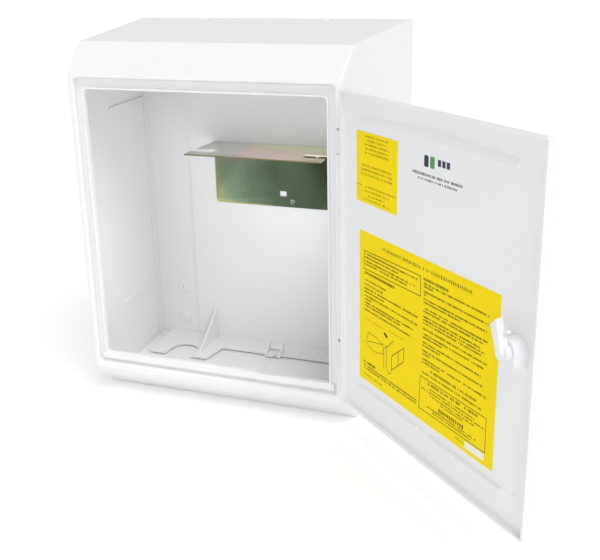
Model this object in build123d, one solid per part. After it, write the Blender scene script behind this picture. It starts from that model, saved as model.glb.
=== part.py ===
from build123d import *
import os
from math import hypot

# Gas meter box for an outside wall, in millimetres.
# +X is right seen from the front, +Y goes into the wall and +Z is up.
# The origin lies on the base plane, midway between the sides and midway in depth.

# Overall form of the box
HEIGHT = 550.0
DEPTH = 260.0
BACK_WIDTH = 452.0
FRONT_WIDTH = 402.6
WALL = 3.0
FRAME_BOTTOM = 47.4
FRAME_TOP_DROP = 58.8
BASE_SETBACK = 52.5
CREST_SETBACK = 41.9
CREST_DROP = 17.8
EDGE_RADIUS = 4.0
HOOD_RADIUS = 4.0
INNER_RADIUS = 4.0

# Door frame moulded in the front
RIM_WIDTH = 9.0
RIM_SILL = 8.9
RIM_HEAD = 4.7
RECESS_DEPTH = 9.0
RECESS_RADIUS = 5.0
LANDING_WIDTH = 12.1
SILL_LANDING = 16.0
HEAD_LANDING = 16.0
LANDING_THICKNESS = 3.0
LIP_THICKNESS = 2.5
LIP_HEIGHT = 5.0
OPENING_HEAD_RADIUS = 6.5
OPENING_FOOT_RADIUS = 2.5
BEAD_HEIGHT = 4.6
BEAD_GAP = 5.2
BEAD_EDGE = 2.0
RIM_EDGE_RADIUS = 1.2
RIM_BEVEL = 1.6
DRIP_GROOVE = 1.6

# Joint between the front moulding and the back tray
TRAY_DEPTH = 18.0
SPIGOT_LENGTH = 6.0
SPIGOT_GAP = 2.0
SPIGOT_THICKNESS = 1.4
SPIGOT_CLEARANCE = 0.1

# Ribs inside the side walls
SIDE_RIB_LOW = 112.0
SIDE_RIB_DROP = 124.0
SIDE_RIB_LENGTH = 122.0
SIDE_RIB_WIDTH = 2.5
SIDE_RIB_PROUD = 2.5

# Back wall of the tray
PANEL_SIDE = 76.0
PANEL_RELIEF = 3.0
PANEL_EDGE = 12.0
FIXING_INSET = 48.0
ROUND_FIXING_Z = 92.0
SLOT_FIXING_Z = 37.0
FIXING_HOLE = 5.2
FIXING_SLOT_LENGTH = 10.0
FIXING_PAD = 22.0
FIXING_PAD_PROUD = 2.5

# Floor strip of the tray, with its pipe cut-out, gusset and lugs
STRIP_THICKNESS = 2.8
STRIP_LIFT = 2.0
STRIP_SETBACK = 49.0
STRIP_STEP = 1.2
STRIP_STEP_WIDTH = 16.0
TONGUE_SETBACK = 99.0
STRIP_SIDE_CLEARANCE = 0.3
PIPE_INSET = 80.0
PIPE_SETBACK = 76.0
PIPE_CUTOUT = 48.0
LEFT_TONGUE_WIDTH = 31.0
LEFT_TONGUE_CORNER = 5.0
RIGHT_TONGUE_WIDTH = 30.0
TONGUE_FLARE = 6.0
GUSSET_OFFSET = 8.5
GUSSET_SETBACK = 84.0
GUSSET_HEIGHT = 62.0
GUSSET_THICKNESS = 3.0
LUG_X = -2.5
LUG_SPACING = 24.5
LUG_THICKNESS = 2.4
LUG_HEIGHT = 18.5
LUG_DEPTH = 14.0
LUG_FOOT = 7.0
LUG_BAR = 3.5
LUG_BAR_HEIGHT = 9.0
LUG_NOTCH = (14.5, 20.0)
FLOOR_LINE_OFFSET = 11.0
FLOOR_LINE_WIDTH = 1.6
FLOOR_LINE_PROUD = 0.6
KNOCKOUT_RADIUS = 20.0
KNOCKOUT_GROOVE = 1.6

# Snap tabs that hold the tray over the roof
TAB_X = 100.0
TAB_WIDTH = 13.0
TAB_REACH = 9.0
TAB_THICKNESS = 2.2
TAB_GAP = 0.25
TAB_HOOK_LENGTH = 2.5
TAB_HOOK_DEPTH = 1.8
TAB_SLOT_CLEARANCE = 0.5

# Door
DOOR_SIDE_GAP = 1.0
DOOR_SILL_GAP = 1.2
DOOR_HEAD_GAP = 3.5
DOOR_PROUD = 5.0
DOOR_DEPTH = 8.5
DOOR_PANEL = 2.5
DOOR_EDGE_WALL = 3.0
DOOR_EDGE_RADIUS = 2.2
DOOR_OPEN_DEG = 137.85
DOOR_RIB_INSET = 43.3
DOOR_RIB_HEAD = 37.5
DOOR_RIB_SILL = 38.0
DOOR_RIB_CROWN = 7.0
DOOR_RIB_WIDTH = 6.5
DOOR_HEAD_RIB_WIDTH = 10.5
DOOR_RIB_PROUD = 4.0
DOOR_RIB_DRAFT = 1.2
DOOR_RIB_BREAK = 12.0
DOOR_POST = 5.5
DOOR_NIB_AT = (22.8, 44.1)
DOOR_NIB = (1.4, 5.0)

# Hinges
HINGE_AXIS_INSET = 2.0
HINGE_AXIS_PROUD = 1.3
HINGE_INSETS = (69.0, 67.0)
KNUCKLE_RADIUS = 3.4
KNUCKLE_GAP = 0.4
CLIP_KNUCKLE = 11.0
DOOR_KNUCKLE = 9.0
PIN_RADIUS = 1.5
PIN_CLEARANCE = 0.05
PIN_HEAD_RADIUS = 2.6
PIN_HEAD = 1.2
PIN_HEAD_GAP = 0.3
POCKET_CLEARANCE = 0.8
POCKET_DEPTH = 7.3
CLIP_BASE = 2.6
CLIP_SCREW_RADIUS = 1.2
CLIP_SCREW_HEAD = 2.0
CLIP_SCREW_LENGTH = 6.0
CLIP_SCREW_OFFSET = 12.5
CLIP_SCREW_INSET = 2.6
CLIP_SLOTS = ((-12.8, -6.2), (6.0, 9.4))
CLIP_SLOT_WIDTH = 1.7
CLIP_SLOT_DEPTH = 3.0
CLIP_SEAT = 0.1
ARM_THICKNESS = 3.0

# Latch
LATCH_INSET = 31.3
LATCH_DROP = 5.25
ESCUTCHEON_RADIUS = 15.0
ESCUTCHEON_PROUD = 2.0
ESCUTCHEON_NECK = 9.0
NECK_LENGTH = 7.0
KEY_WELL_RADIUS = 7.5
KEY_WELL_DEPTH = 4.0
KEY_RADIUS = 5.0
HOUSING_BASE_RADIUS = 16.2
HOUSING_TOP_RADIUS = 13.2
HOUSING_DROP = 11.7
HOUSING_HEIGHT = 14.5
HOUSING_EDGE = 0.8
SPINDLE_RADIUS = 5.0
SPINDLE_CLEARANCE = 0.06
CAM_SQUARE = 6.4
CAM_SQUARE_CLEARANCE = 0.1
CAM_HUB_RADIUS = 9.5
CAM_HUB_HEIGHT = 6.5
CAM_THICKNESS = 10.0
CAM_LENGTH = 36.0
CAM_HEEL = 6.5
CAM_HEEL_WIDTH = 16.6
CAM_TIP_WIDTH = 12.5
CAM_BACK_WIDTH = 8.0
CAM_TIP_SLANT = 6.0
CAM_EDGE = 0.8
CAM_GAP = 0.4
CAM_NUB_AT = 21.0
CAM_NUB = (3.6, 12.0, 4.0)
CAM_OPEN_DEG = 72.0
CAM_SOCKET_FLOOR = 1.5

# Meter bracket, a bent steel angle
BRACKET_LEFT = -102.5
BRACKET_WIDTH = 222.0
BRACKET_TOP = 355.3
BRACKET_DROP = 101.8
BRACKET_REACH = 109.0
BRACKET_SHEET = 2.0
BRACKET_BEND = 3.0
BRACKET_CORNER = 6.0
METER_SLOT_WIDTH = 21.0
METER_SLOT_LENGTH = 38.0
METER_SLOT_SETBACK = 24.0
METER_SLOT_RADIUS = 3.0
BEND_HOLE = (9.0, 4.0)
BEND_HOLE_INSET = 40.0
BEND_HOLE_SETBACK = 6.0
SQUARE_HOLE = (12.0, 9.0)
SQUARE_HOLE_AT = (119.8, 80.3)
BRACKET_SCREWS_AT = ((135.9, 92.3), (42.5, 14.3), (179.5, 14.3))
SCREW_RADIUS = 2.0
SCREW_HOLE_CLEARANCE = 0.3
SCREW_PILOT_CLEARANCE = 0.05
SCREW_HEAD_RADIUS = 3.9
SCREW_HEAD = 2.2
SCREW_LENGTH = 7.0
SCREW_BOSS_RADIUS = 6.0
SCREW_RECESS = (4.0, 1.0, 1.0)

# Printed sheets on the inside of the door
LABEL_THICKNESS = 0.2
SMALL_LABEL_INSET = (33.3, 45.0)
SMALL_LABEL_SIZE = (93.0, 88.0)
LARGE_LABEL_INSET = (60.3, 41.3, 52.5)
LARGE_LABEL_HEIGHT = 203.0
LABEL_RADIUS = 1.5

# Places that follow from the sizes above
FRAME_TOP = HEIGHT - FRAME_TOP_DROP
CREST_HEIGHT = HEIGHT - CREST_DROP
RECESS_BOTTOM = FRAME_BOTTOM + RIM_SILL
RECESS_TOP = FRAME_TOP - RIM_HEAD
SIDE_RIB_HEIGHTS = (SIDE_RIB_LOW, HEIGHT - SIDE_RIB_DROP)
PANEL_WIDTH = BACK_WIDTH - 2 * PANEL_SIDE
FIXING_X = BACK_WIDTH / 2 - FIXING_INSET
FRONT_Y = -DEPTH / 2
BACK_Y = DEPTH / 2
JOINT_Y = BACK_Y - TRAY_DEPTH
INNER_BACK_Y = BACK_Y - WALL
PANEL_Y = INNER_BACK_Y - PANEL_RELIEF
STRIP_FRONT_Y = BACK_Y - STRIP_SETBACK
TONGUE_FRONT_Y = BACK_Y - TONGUE_SETBACK
PIPE_X = PIPE_INSET - BACK_WIDTH / 2
PIPE_Y = BACK_Y - PIPE_SETBACK
GUSSET_X = PIPE_X + PIPE_CUTOUT / 2 + GUSSET_OFFSET
GUSSET_FRONT_Y = BACK_Y - GUSSET_SETBACK
FLOOR_LINE_X = LUG_X + FLOOR_LINE_OFFSET
CREST_Y = FRONT_Y + CREST_SETBACK
ROOF_SLOPE = (HEIGHT - CREST_HEIGHT) / (BACK_Y - CREST_Y)
FLARE = (BACK_WIDTH - FRONT_WIDTH) / 2 / DEPTH
RECESS_HALF = FRONT_WIDTH / 2 - RIM_WIDTH
LANDING_Y = FRONT_Y + RECESS_DEPTH
LANDING_BACK_Y = LANDING_Y + LANDING_THICKNESS
OPENING_HALF = RECESS_HALF - LANDING_WIDTH
OPENING_BOTTOM = RECESS_BOTTOM + SILL_LANDING
OPENING_TOP = RECESS_TOP - HEAD_LANDING
DOOR_HALF = RECESS_HALF - DOOR_SIDE_GAP
DOOR_BOTTOM = RECESS_BOTTOM + DOOR_SILL_GAP
DOOR_TOP = RECESS_TOP - DOOR_HEAD_GAP
STRIP_SIDE_GAP = INNER_RADIUS + STRIP_SIDE_CLEARANCE
STRIP_TOP = WALL + STRIP_LIFT + STRIP_THICKNESS
DOOR_FACE_Y = FRONT_Y - DOOR_PROUD
DOOR_EDGE_Y = DOOR_FACE_Y + DOOR_DEPTH
PANEL_INSIDE_Y = DOOR_FACE_Y + DOOR_PANEL
DOOR_RIB_HALF = DOOR_HALF - DOOR_RIB_INSET
HINGE_AXIS_X = FRONT_WIDTH / 2 - HINGE_AXIS_INSET
HINGE_AXIS_Y = FRONT_Y - HINGE_AXIS_PROUD
HINGE_HEIGHTS = (DOOR_BOTTOM + HINGE_INSETS[0], DOOR_TOP - HINGE_INSETS[1])
KNUCKLE_STACK = CLIP_KNUCKLE / 2 + KNUCKLE_GAP + DOOR_KNUCKLE
POCKET_HALF = KNUCKLE_STACK + PIN_HEAD_GAP + PIN_HEAD + POCKET_CLEARANCE
POCKET_X = HINGE_AXIS_X - KNUCKLE_RADIUS - POCKET_CLEARANCE
POCKET_Y = FRONT_Y + POCKET_DEPTH
LATCH_X = LATCH_INSET - DOOR_HALF
LATCH_Z = (DOOR_BOTTOM + DOOR_TOP) / 2 - LATCH_DROP
CAM_Y = LANDING_BACK_Y + CAM_GAP
HINGE_AXIS = Axis((HINGE_AXIS_X, HINGE_AXIS_Y, 0), (0, 0, 1))
CAM_AXIS = Axis((LATCH_X, 0, LATCH_Z), (0, -1, 0))


def block(x0, x1, y0, y1, z0, z1):
    """Rectangular solid between two corners."""
    centre = Pos((x0 + x1) / 2, (y0 + y1) / 2, (z0 + z1) / 2)
    return centre * Box(x1 - x0, y1 - y0, z1 - z0)


def along_x(face, x0, x1):
    """Prism of a face drawn in Y and Z."""
    return extrude(Plane.YZ.offset(x0) * face, x1 - x0)


def along_y(face, y0, y1):
    """Prism of a face drawn in X and Z."""
    return extrude(Plane.XZ.offset(-y1) * face, y1 - y0)


def along_z(face, z0, z1):
    """Prism of a face drawn in X and Y."""
    return extrude(Pos(0, 0, z0) * face, z1 - z0)


def polygon(*points):
    """Flat face with straight sides."""
    return make_face(Polyline(*points, close=True))


def round_rectangle(x0, x1, z0, z1, radius):
    """Flat face with rounded corners between two corners."""
    return Pos((x0 + x1) / 2, (z0 + z1) / 2) * RectangleRounded(x1 - x0, z1 - z0, radius)


def rod_y(x, z, radius, y0, y1):
    """Round bar along the depth of the box."""
    return along_y(Pos(x, z) * Circle(radius), y0, y1)


def rod_z(x, y, radius, z0, z1):
    """Upright round bar."""
    return along_z(Pos(x, y) * Circle(radius), z0, z1)


def roof_z(y):
    """Height of the roof's outer surface at a depth."""
    return CREST_HEIGHT + ROOF_SLOPE * (y - CREST_Y)


def half_width(y):
    """Half of the outer width at a depth: the sides flare towards the wall."""
    return FRONT_WIDTH / 2 + FLARE * (y - FRONT_Y)


def outer_hull():
    """Outer form of the whole box with its rounded edges."""
    side = polygon(
        (FRONT_Y, FRAME_BOTTOM),
        (FRONT_Y + BASE_SETBACK, 0),
        (BACK_Y, 0),
        (BACK_Y, HEIGHT),
        (CREST_Y, CREST_HEIGHT),
        (FRONT_Y, FRAME_TOP),
    )
    plan = polygon(
        (-half_width(FRONT_Y), FRONT_Y),
        (half_width(FRONT_Y), FRONT_Y),
        (half_width(BACK_Y), BACK_Y),
        (-half_width(BACK_Y), BACK_Y),
    )
    hull = along_x(side, -BACK_WIDTH, BACK_WIDTH) & along_z(plan, -WALL, HEIGHT + WALL)
    hood = [e for e in hull.edges() if is_level_edge(e) and e.center().Z > FRAME_TOP - 1 and e.center().Y < 0]
    hull = fillet(hood, HOOD_RADIUS)
    rest = [e for e in hull.edges() if is_sharp_outer_edge(e)]
    return fillet(rest, EDGE_RADIUS)


def is_level_edge(edge):
    """True for a straight edge that runs across the box."""
    return edge.geom_type == GeomType.LINE and abs(edge.tangent_at(0.5).X) > 0.999


def is_sharp_outer_edge(edge):
    """True for the edges round the sides, the frame's bottom and the base's front."""
    if abs(edge.center().Y - BACK_Y) < 0.01:
        return False
    middle = edge.position_at(0.5)
    on_side = abs(abs(middle.X) - half_width(middle.Y)) < 0.01
    lower_front = is_level_edge(edge) and middle.Z < FRAME_BOTTOM + 1
    return on_side or lower_front


def inner_hull(inset, y0, y1):
    """Space inside the walls, drawn in by inset, between two depths."""
    far = BACK_Y + 2 * inset + WALL
    side = polygon(
        (FRONT_Y, FRAME_BOTTOM),
        (FRONT_Y + BASE_SETBACK, 0),
        (far, 0),
        (far, roof_z(far)),
        (CREST_Y, CREST_HEIGHT),
        (FRONT_Y, FRAME_TOP),
    )
    near = FRONT_Y - 2 * inset - WALL
    plan = polygon(
        (-half_width(near), near),
        (half_width(near), near),
        (half_width(far), far),
        (-half_width(far), far),
    )
    side = offset(side, -inset, kind=Kind.INTERSECTION)
    plan = offset(plan, -inset, kind=Kind.INTERSECTION)
    space = along_x(side, -BACK_WIDTH, BACK_WIDTH) & along_z(plan, -WALL, HEIGHT + WALL)
    return space & block(-BACK_WIDTH, BACK_WIDTH, y0, y1, -WALL, HEIGHT + WALL)


def opening_outline(grow):
    """Outline of the opening, enlarged by grow: rounder corners above than below."""
    half = OPENING_HALF + grow
    low = OPENING_BOTTOM - grow
    high = OPENING_TOP + grow
    face = polygon((-half, low), (half, low), (half, high), (-half, high))
    head = [v for v in face.vertices() if v.Y > (low + high) / 2]
    face = fillet(head, OPENING_HEAD_RADIUS + grow)
    foot = [v for v in face.vertices() if v.Y < low + 0.01]
    return fillet(foot, OPENING_FOOT_RADIUS + grow)


def frame_cuts():
    """Recess that the door closes into and the opening through it."""
    recess = round_rectangle(-RECESS_HALF, RECESS_HALF, RECESS_BOTTOM, RECESS_TOP, RECESS_RADIUS)
    recess_cut = along_y(recess, FRONT_Y - WALL, LANDING_Y)
    mouth = [e for e in recess_cut.edges() if abs(e.center().Y - LANDING_Y) < 0.01]
    recess_cut = fillet(mouth, RIM_EDGE_RADIUS)
    groove = block(
        -RECESS_HALF + RECESS_RADIUS,
        RECESS_HALF - RECESS_RADIUS,
        LANDING_Y - RIM_EDGE_RADIUS,
        LANDING_Y + DRIP_GROOVE,
        RECESS_TOP - DRIP_GROOVE,
        RECESS_TOP,
    )
    return recess_cut + groove + along_y(opening_outline(0), FRONT_Y, LANDING_BACK_Y + WALL)


def bevel_rim(shell):
    """Bevel the inner front edges of the frame round the recess."""
    edges = [e for e in shell.edges() if is_recess_edge(e)]
    return chamfer(edges, RIM_BEVEL)


def is_recess_edge(edge):
    """True for the edges where the recess meets the front face."""
    middle = edge.position_at(0.5)
    inside = abs(middle.X) < RECESS_HALF + 0.01 and RECESS_BOTTOM - 0.01 < middle.Z < RECESS_TOP + 0.01
    return inside and abs(middle.Y - FRONT_Y) < 0.01


def frame_lip():
    """Upstand round the opening that the door's edge closes over."""
    ring = opening_outline(LIP_THICKNESS) - opening_outline(0)
    lip = along_y(ring, LANDING_Y - LIP_HEIGHT, LANDING_BACK_Y)
    top = [e for e in lip.edges() if abs(e.center().Y - (LANDING_Y - LIP_HEIGHT)) < 0.01]
    return chamfer(top, LIP_THICKNESS * 0.25)


def sill_bead():
    """Broad band from the lip down to just above the door's edge, which sheds rain forward."""
    half = RECESS_HALF - BEAD_GAP
    front = LANDING_Y - BEAD_HEIGHT
    low = RECESS_BOTTOM + BEAD_GAP
    bead = block(-half, half, front, LANDING_Y + 1, low, OPENING_BOTTOM - LIP_THICKNESS / 2)
    bottom = [
        e for e in bead.edges()
        if is_level_edge(e) and hypot(e.center().Y - front, e.center().Z - low) < 0.01
    ]
    return fillet(bottom, BEAD_EDGE)


def side_ribs():
    """Level ribs inside both side walls, from the joint forward."""
    rear = JOINT_Y - SPIGOT_LENGTH - SPIGOT_GAP
    ring = inner_hull(WALL - 0.5, rear - SIDE_RIB_LENGTH, rear)
    ring -= inner_hull(WALL + SIDE_RIB_PROUD, rear - SIDE_RIB_LENGTH - 1, rear + 1)
    half = SIDE_RIB_WIDTH / 2
    bands = [block(-BACK_WIDTH, BACK_WIDTH, FRONT_Y, BACK_Y, z - half, z + half) for z in SIDE_RIB_HEIGHTS]
    return [ring & band for band in bands]


def hinge_pocket(z):
    """Pocket in the rim, open to the front and the side, that holds a hinge."""
    return block(POCKET_X, FRONT_WIDTH, FRONT_Y - WALL, POCKET_Y, z - POCKET_HALF, z + POCKET_HALF)


def clip_screw_heights(z):
    """Heights of the two screws of the hinge clip centred at z."""
    return (z - CLIP_SCREW_OFFSET, z + CLIP_SCREW_OFFSET)


def clip_screw_hole(z):
    """Pilot hole for a hinge clip screw."""
    depth = CLIP_SCREW_LENGTH + SCREW_PILOT_CLEARANCE
    radius = CLIP_SCREW_RADIUS + SCREW_PILOT_CLEARANCE
    front = POCKET_Y - CLIP_SEAT - CLIP_BASE
    return rod_y(clip_screw_x(), z, radius, front, front + depth)


def clip_screw_x():
    """Line of the clip screws, measured in from the box's side."""
    return FRONT_WIDTH / 2 - CLIP_SCREW_INSET


def clip_slots(z):
    """Upright slots beside the knuckle, through the clip's base and into the frame."""
    x0 = POCKET_X - CLIP_SLOT_WIDTH / 3
    y0 = POCKET_Y - CLIP_SEAT - CLIP_BASE - 1
    y1 = POCKET_Y + CLIP_SLOT_DEPTH
    low, high = [block(x0, x0 + CLIP_SLOT_WIDTH, y0, y1, z + a, z + b) for a, b in CLIP_SLOTS]
    return low + high


def snap_tab(x):
    """Tab of the tray that reaches forward over the roof, with its hook."""
    tip = JOINT_Y - TAB_REACH
    hook = tip + TAB_HOOK_LENGTH
    root = JOINT_Y + TAB_REACH
    profile = polygon(
        (root, roof_z(root) - WALL / 2),
        (root, roof_z(root)),
        (JOINT_Y, roof_z(JOINT_Y) + TAB_THICKNESS + TAB_GAP),
        (hook, roof_z(hook) + TAB_THICKNESS + TAB_GAP),
        (tip, roof_z(tip) + TAB_THICKNESS / 2),
        (tip, roof_z(tip) - TAB_HOOK_DEPTH),
        (hook, roof_z(hook) - TAB_HOOK_DEPTH),
        (hook, roof_z(hook) + TAB_GAP),
        (JOINT_Y, roof_z(JOINT_Y) + TAB_GAP),
        (JOINT_Y, roof_z(JOINT_Y) - WALL / 2),
    )
    return along_x(profile, x - TAB_WIDTH / 2, x + TAB_WIDTH / 2)


def snap_slot(x):
    """Blind slot in the roof that a snap tab's hook drops into."""
    tip = JOINT_Y - TAB_REACH
    hook = tip + TAB_HOOK_LENGTH
    half = TAB_WIDTH / 2 + TAB_SLOT_CLEARANCE
    floor = roof_z(tip) - TAB_HOOK_DEPTH - TAB_SLOT_CLEARANCE
    near = tip - TAB_SLOT_CLEARANCE
    far = hook + TAB_SLOT_CLEARANCE
    return block(x - half, x + half, near, far, floor, HEIGHT + WALL)


def knockout_groove():
    """Ring groove under the floor that marks the disc to cut out for the pipe."""
    outer = rod_z(PIPE_X, PIPE_Y, KNOCKOUT_RADIUS + KNOCKOUT_GROOVE, -1, WALL / 2)
    return outer - rod_z(PIPE_X, PIPE_Y, KNOCKOUT_RADIUS, -1, WALL / 2)


def is_long_corner(direction):
    """True for the direction of an inner corner that runs back along a side."""
    return abs(direction.Y) > 0.3 and abs(direction.X) > 0.01


def make_front_shell(hull):
    """Carcass moulding: hood, sides, base, floor and the door frame."""
    shell = hull & block(-BACK_WIDTH, BACK_WIDTH, FRONT_Y, JOINT_Y, -WALL, HEIGHT + WALL)
    cavity = inner_hull(WALL, LANDING_BACK_Y, JOINT_Y + 1)
    long_edges = [e for e in cavity.edges() if is_long_corner(e.tangent_at(0.5))]
    cavity = fillet(long_edges, INNER_RADIUS)
    shell -= cavity
    rebate = inner_hull(WALL - SPIGOT_THICKNESS, JOINT_Y - SPIGOT_LENGTH - SPIGOT_GAP, JOINT_Y + 1)
    shell -= rebate
    shell -= frame_cuts()
    shell = bevel_rim(shell)
    shell += frame_lip()
    shell += sill_bead()
    for rib in side_ribs():
        shell += rib
    for z in HINGE_HEIGHTS:
        shell -= hinge_pocket(z)
        shell -= clip_slots(z)
        for screw_z in clip_screw_heights(z):
            shell -= clip_screw_hole(screw_z)
    for x in (-TAB_X, TAB_X):
        shell -= snap_slot(x)
    shell -= knockout_groove()
    line = block(
        FLOOR_LINE_X - FLOOR_LINE_WIDTH / 2,
        FLOOR_LINE_X + FLOOR_LINE_WIDTH / 2,
        FRONT_Y + BASE_SETBACK + WALL,
        STRIP_FRONT_Y - LUG_FOOT - LUG_THICKNESS,
        WALL - FLOOR_LINE_PROUD,
        WALL + FLOOR_LINE_PROUD,
    )
    return shell + line


def floor_strip():
    """Strip of the tray over the floor, with two tongues beside the pipe cut-out."""
    left = PIPE_X - PIPE_CUTOUT / 2
    right = PIPE_X + PIPE_CUTOUT / 2
    far_left = left - LEFT_TONGUE_WIDTH
    plan = polygon(
        (far_left - TONGUE_FLARE, INNER_BACK_Y + 1),
        (far_left - TONGUE_FLARE, STRIP_FRONT_Y),
        (far_left, TONGUE_FRONT_Y + LEFT_TONGUE_CORNER),
        (far_left + LEFT_TONGUE_CORNER, TONGUE_FRONT_Y),
        (right + RIGHT_TONGUE_WIDTH, TONGUE_FRONT_Y),
        (right + RIGHT_TONGUE_WIDTH + TONGUE_FLARE, STRIP_FRONT_Y),
        (BACK_WIDTH / 2, STRIP_FRONT_Y),
        (BACK_WIDTH / 2, INNER_BACK_Y + 1),
    )
    strip = along_z(plan, WALL + STRIP_LIFT, STRIP_TOP)
    step_y = STRIP_FRONT_Y + STRIP_STEP_WIDTH
    strip += block(far_left, BACK_WIDTH / 2, step_y, INNER_BACK_Y + 1, STRIP_TOP - 1, STRIP_TOP + STRIP_STEP)
    strip -= rod_z(PIPE_X, PIPE_Y, PIPE_CUTOUT / 2, 0, GUSSET_HEIGHT)
    strip -= block(left, right, TONGUE_FRONT_Y - 1, PIPE_Y, 0, GUSSET_HEIGHT)
    inside = inner_hull(WALL - 0.5, TONGUE_FRONT_Y - 1, BACK_Y)
    beside = block(-BACK_WIDTH, BACK_WIDTH, TONGUE_FRONT_Y - 1, JOINT_Y - SPIGOT_LENGTH, 0, HEIGHT)
    half = half_width(STRIP_FRONT_Y) - WALL - STRIP_SIDE_GAP
    middle = block(-half, half, TONGUE_FRONT_Y - 1, JOINT_Y - SPIGOT_LENGTH, 0, HEIGHT)
    return (strip & inside) - (beside - middle)


def gusset():
    """Upright triangular rib beside the pipe cut-out."""
    profile = polygon(
        (GUSSET_FRONT_Y, WALL + STRIP_LIFT),
        (PANEL_Y + 1, WALL + STRIP_LIFT),
        (PANEL_Y + 1, GUSSET_HEIGHT),
        (PANEL_Y - 2, GUSSET_HEIGHT),
    )
    return along_x(profile, GUSSET_X - GUSSET_THICKNESS / 2, GUSSET_X + GUSSET_THICKNESS / 2)


def floor_lugs():
    """Pair of triangular lugs joined by a bar, on a notched foot before the floor strip."""
    front = STRIP_FRONT_Y - LUG_FOOT
    under = WALL + STRIP_LIFT
    peak_y = STRIP_FRONT_Y + LUG_DEPTH
    profile = polygon(
        (front, under),
        (peak_y, under),
        (peak_y, STRIP_TOP + LUG_HEIGHT),
        (peak_y - LUG_THICKNESS, STRIP_TOP + LUG_HEIGHT),
        (front, under + LUG_THICKNESS),
    )
    half = LUG_THICKNESS / 2
    far = LUG_X + LUG_SPACING
    lugs = [along_x(profile, x - half, x + half) for x in (LUG_X, far)]
    foot = block(LUG_X, far, front, STRIP_FRONT_Y + 1, under, under + LUG_THICKNESS)
    notch = [LUG_X + x for x in LUG_NOTCH]
    foot -= block(*notch, front - 1, STRIP_FRONT_Y - LUG_THICKNESS, 0, STRIP_TOP)
    bar_z = STRIP_TOP + LUG_BAR_HEIGHT
    bar = block(LUG_X, far, peak_y - LUG_BAR, peak_y, bar_z - LUG_BAR, bar_z)
    return lugs[0] + lugs[1] + foot + bar


def fixing_pads():
    """Raised round pads that the wall screws bear on."""
    pads = []
    for x in (-FIXING_X, FIXING_X):
        for z in (ROUND_FIXING_Z, SLOT_FIXING_Z):
            pad = rod_y(x, z, FIXING_PAD / 2, INNER_BACK_Y - FIXING_PAD_PROUD, INNER_BACK_Y + 1)
            front = INNER_BACK_Y - FIXING_PAD_PROUD
            edge = [e for e in pad.edges() if abs(e.center().Y - front) < 0.01]
            pads.append(chamfer(edge, FIXING_PAD_PROUD * 0.5))
    return pads


def fixing_holes():
    """Round wall-screw holes and, below them, upright slots."""
    holes = []
    y0 = INNER_BACK_Y - 2 * FIXING_PAD_PROUD
    for x in (-FIXING_X, FIXING_X):
        holes.append(rod_y(x, ROUND_FIXING_Z, FIXING_HOLE / 2, y0, BACK_Y + 1))
        slot = SlotOverall(FIXING_SLOT_LENGTH, FIXING_HOLE)
        holes.append(along_y(Pos(x, SLOT_FIXING_Z) * Rot(0, 0, 90) * slot, y0, BACK_Y + 1))
    return holes


def make_back_tray(hull):
    """Shallow back moulding: wall, side strip, spigot and everything on it."""
    tray = hull & block(-BACK_WIDTH, BACK_WIDTH, JOINT_Y, BACK_Y, -WALL, HEIGHT + WALL)
    tray -= inner_hull(WALL, JOINT_Y - 1, INNER_BACK_Y)
    spigot_start = JOINT_Y - SPIGOT_LENGTH
    outside = WALL - SPIGOT_THICKNESS + SPIGOT_CLEARANCE
    spigot = inner_hull(outside, spigot_start, JOINT_Y + WALL / 2)
    spigot -= inner_hull(WALL, spigot_start - 1, JOINT_Y + WALL)
    tray += spigot
    middle = block(-PANEL_WIDTH / 2, PANEL_WIDTH / 2, PANEL_Y, INNER_BACK_Y + 1, 0, HEIGHT)
    tray += middle & inner_hull(WALL / 2, PANEL_Y - 1, BACK_Y)
    tray -= block(
        -PANEL_WIDTH / 2 + WALL,
        PANEL_WIDTH / 2 - WALL,
        INNER_BACK_Y,
        BACK_Y + 1,
        PANEL_EDGE,
        HEIGHT - PANEL_EDGE,
    )
    for x, z in map(on_bracket, BRACKET_SCREWS_AT):
        tray += rod_y(x, z, SCREW_BOSS_RADIUS, INNER_BACK_Y - 1, BACK_Y)
        pilot = SCREW_RADIUS + SCREW_PILOT_CLEARANCE
        tray -= rod_y(x, z, pilot, PANEL_Y - 1, bracket_screw_tip() + SCREW_PILOT_CLEARANCE)
    tray += floor_strip()
    tray += gusset()
    tray += floor_lugs()
    for pad in fixing_pads():
        tray += pad
    for hole in fixing_holes():
        tray -= hole
    for x in (-TAB_X, TAB_X):
        tray += snap_tab(x)
    return tray


def door_rib(x0, x1, low, width, crown, ridge):
    """Raised rib on the inside of the door: a straight lower edge and a crowned upper one."""
    middle = (x0 + x1) / 2
    draft = DOOR_RIB_DRAFT
    foot = polygon((x0, low), (x1, low), (x1, low + width), (middle, low + width + crown), (x0, low + width))
    top = ridge + crown / 4
    crest = polygon(
        (x0 + draft, low + draft),
        (x1 - draft, low + draft),
        (x1 - draft, low + ridge),
        (middle, low + top),
        (x0 + draft, low + ridge),
    )
    sections = [
        Plane.XZ.offset(-PANEL_INSIDE_Y) * foot,
        Plane.XZ.offset(-PANEL_INSIDE_Y - DOOR_RIB_PROUD) * crest,
    ]
    root = along_y(foot, PANEL_INSIDE_Y - 0.5, PANEL_INSIDE_Y)
    return loft(sections, ruled=True) + root


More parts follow.
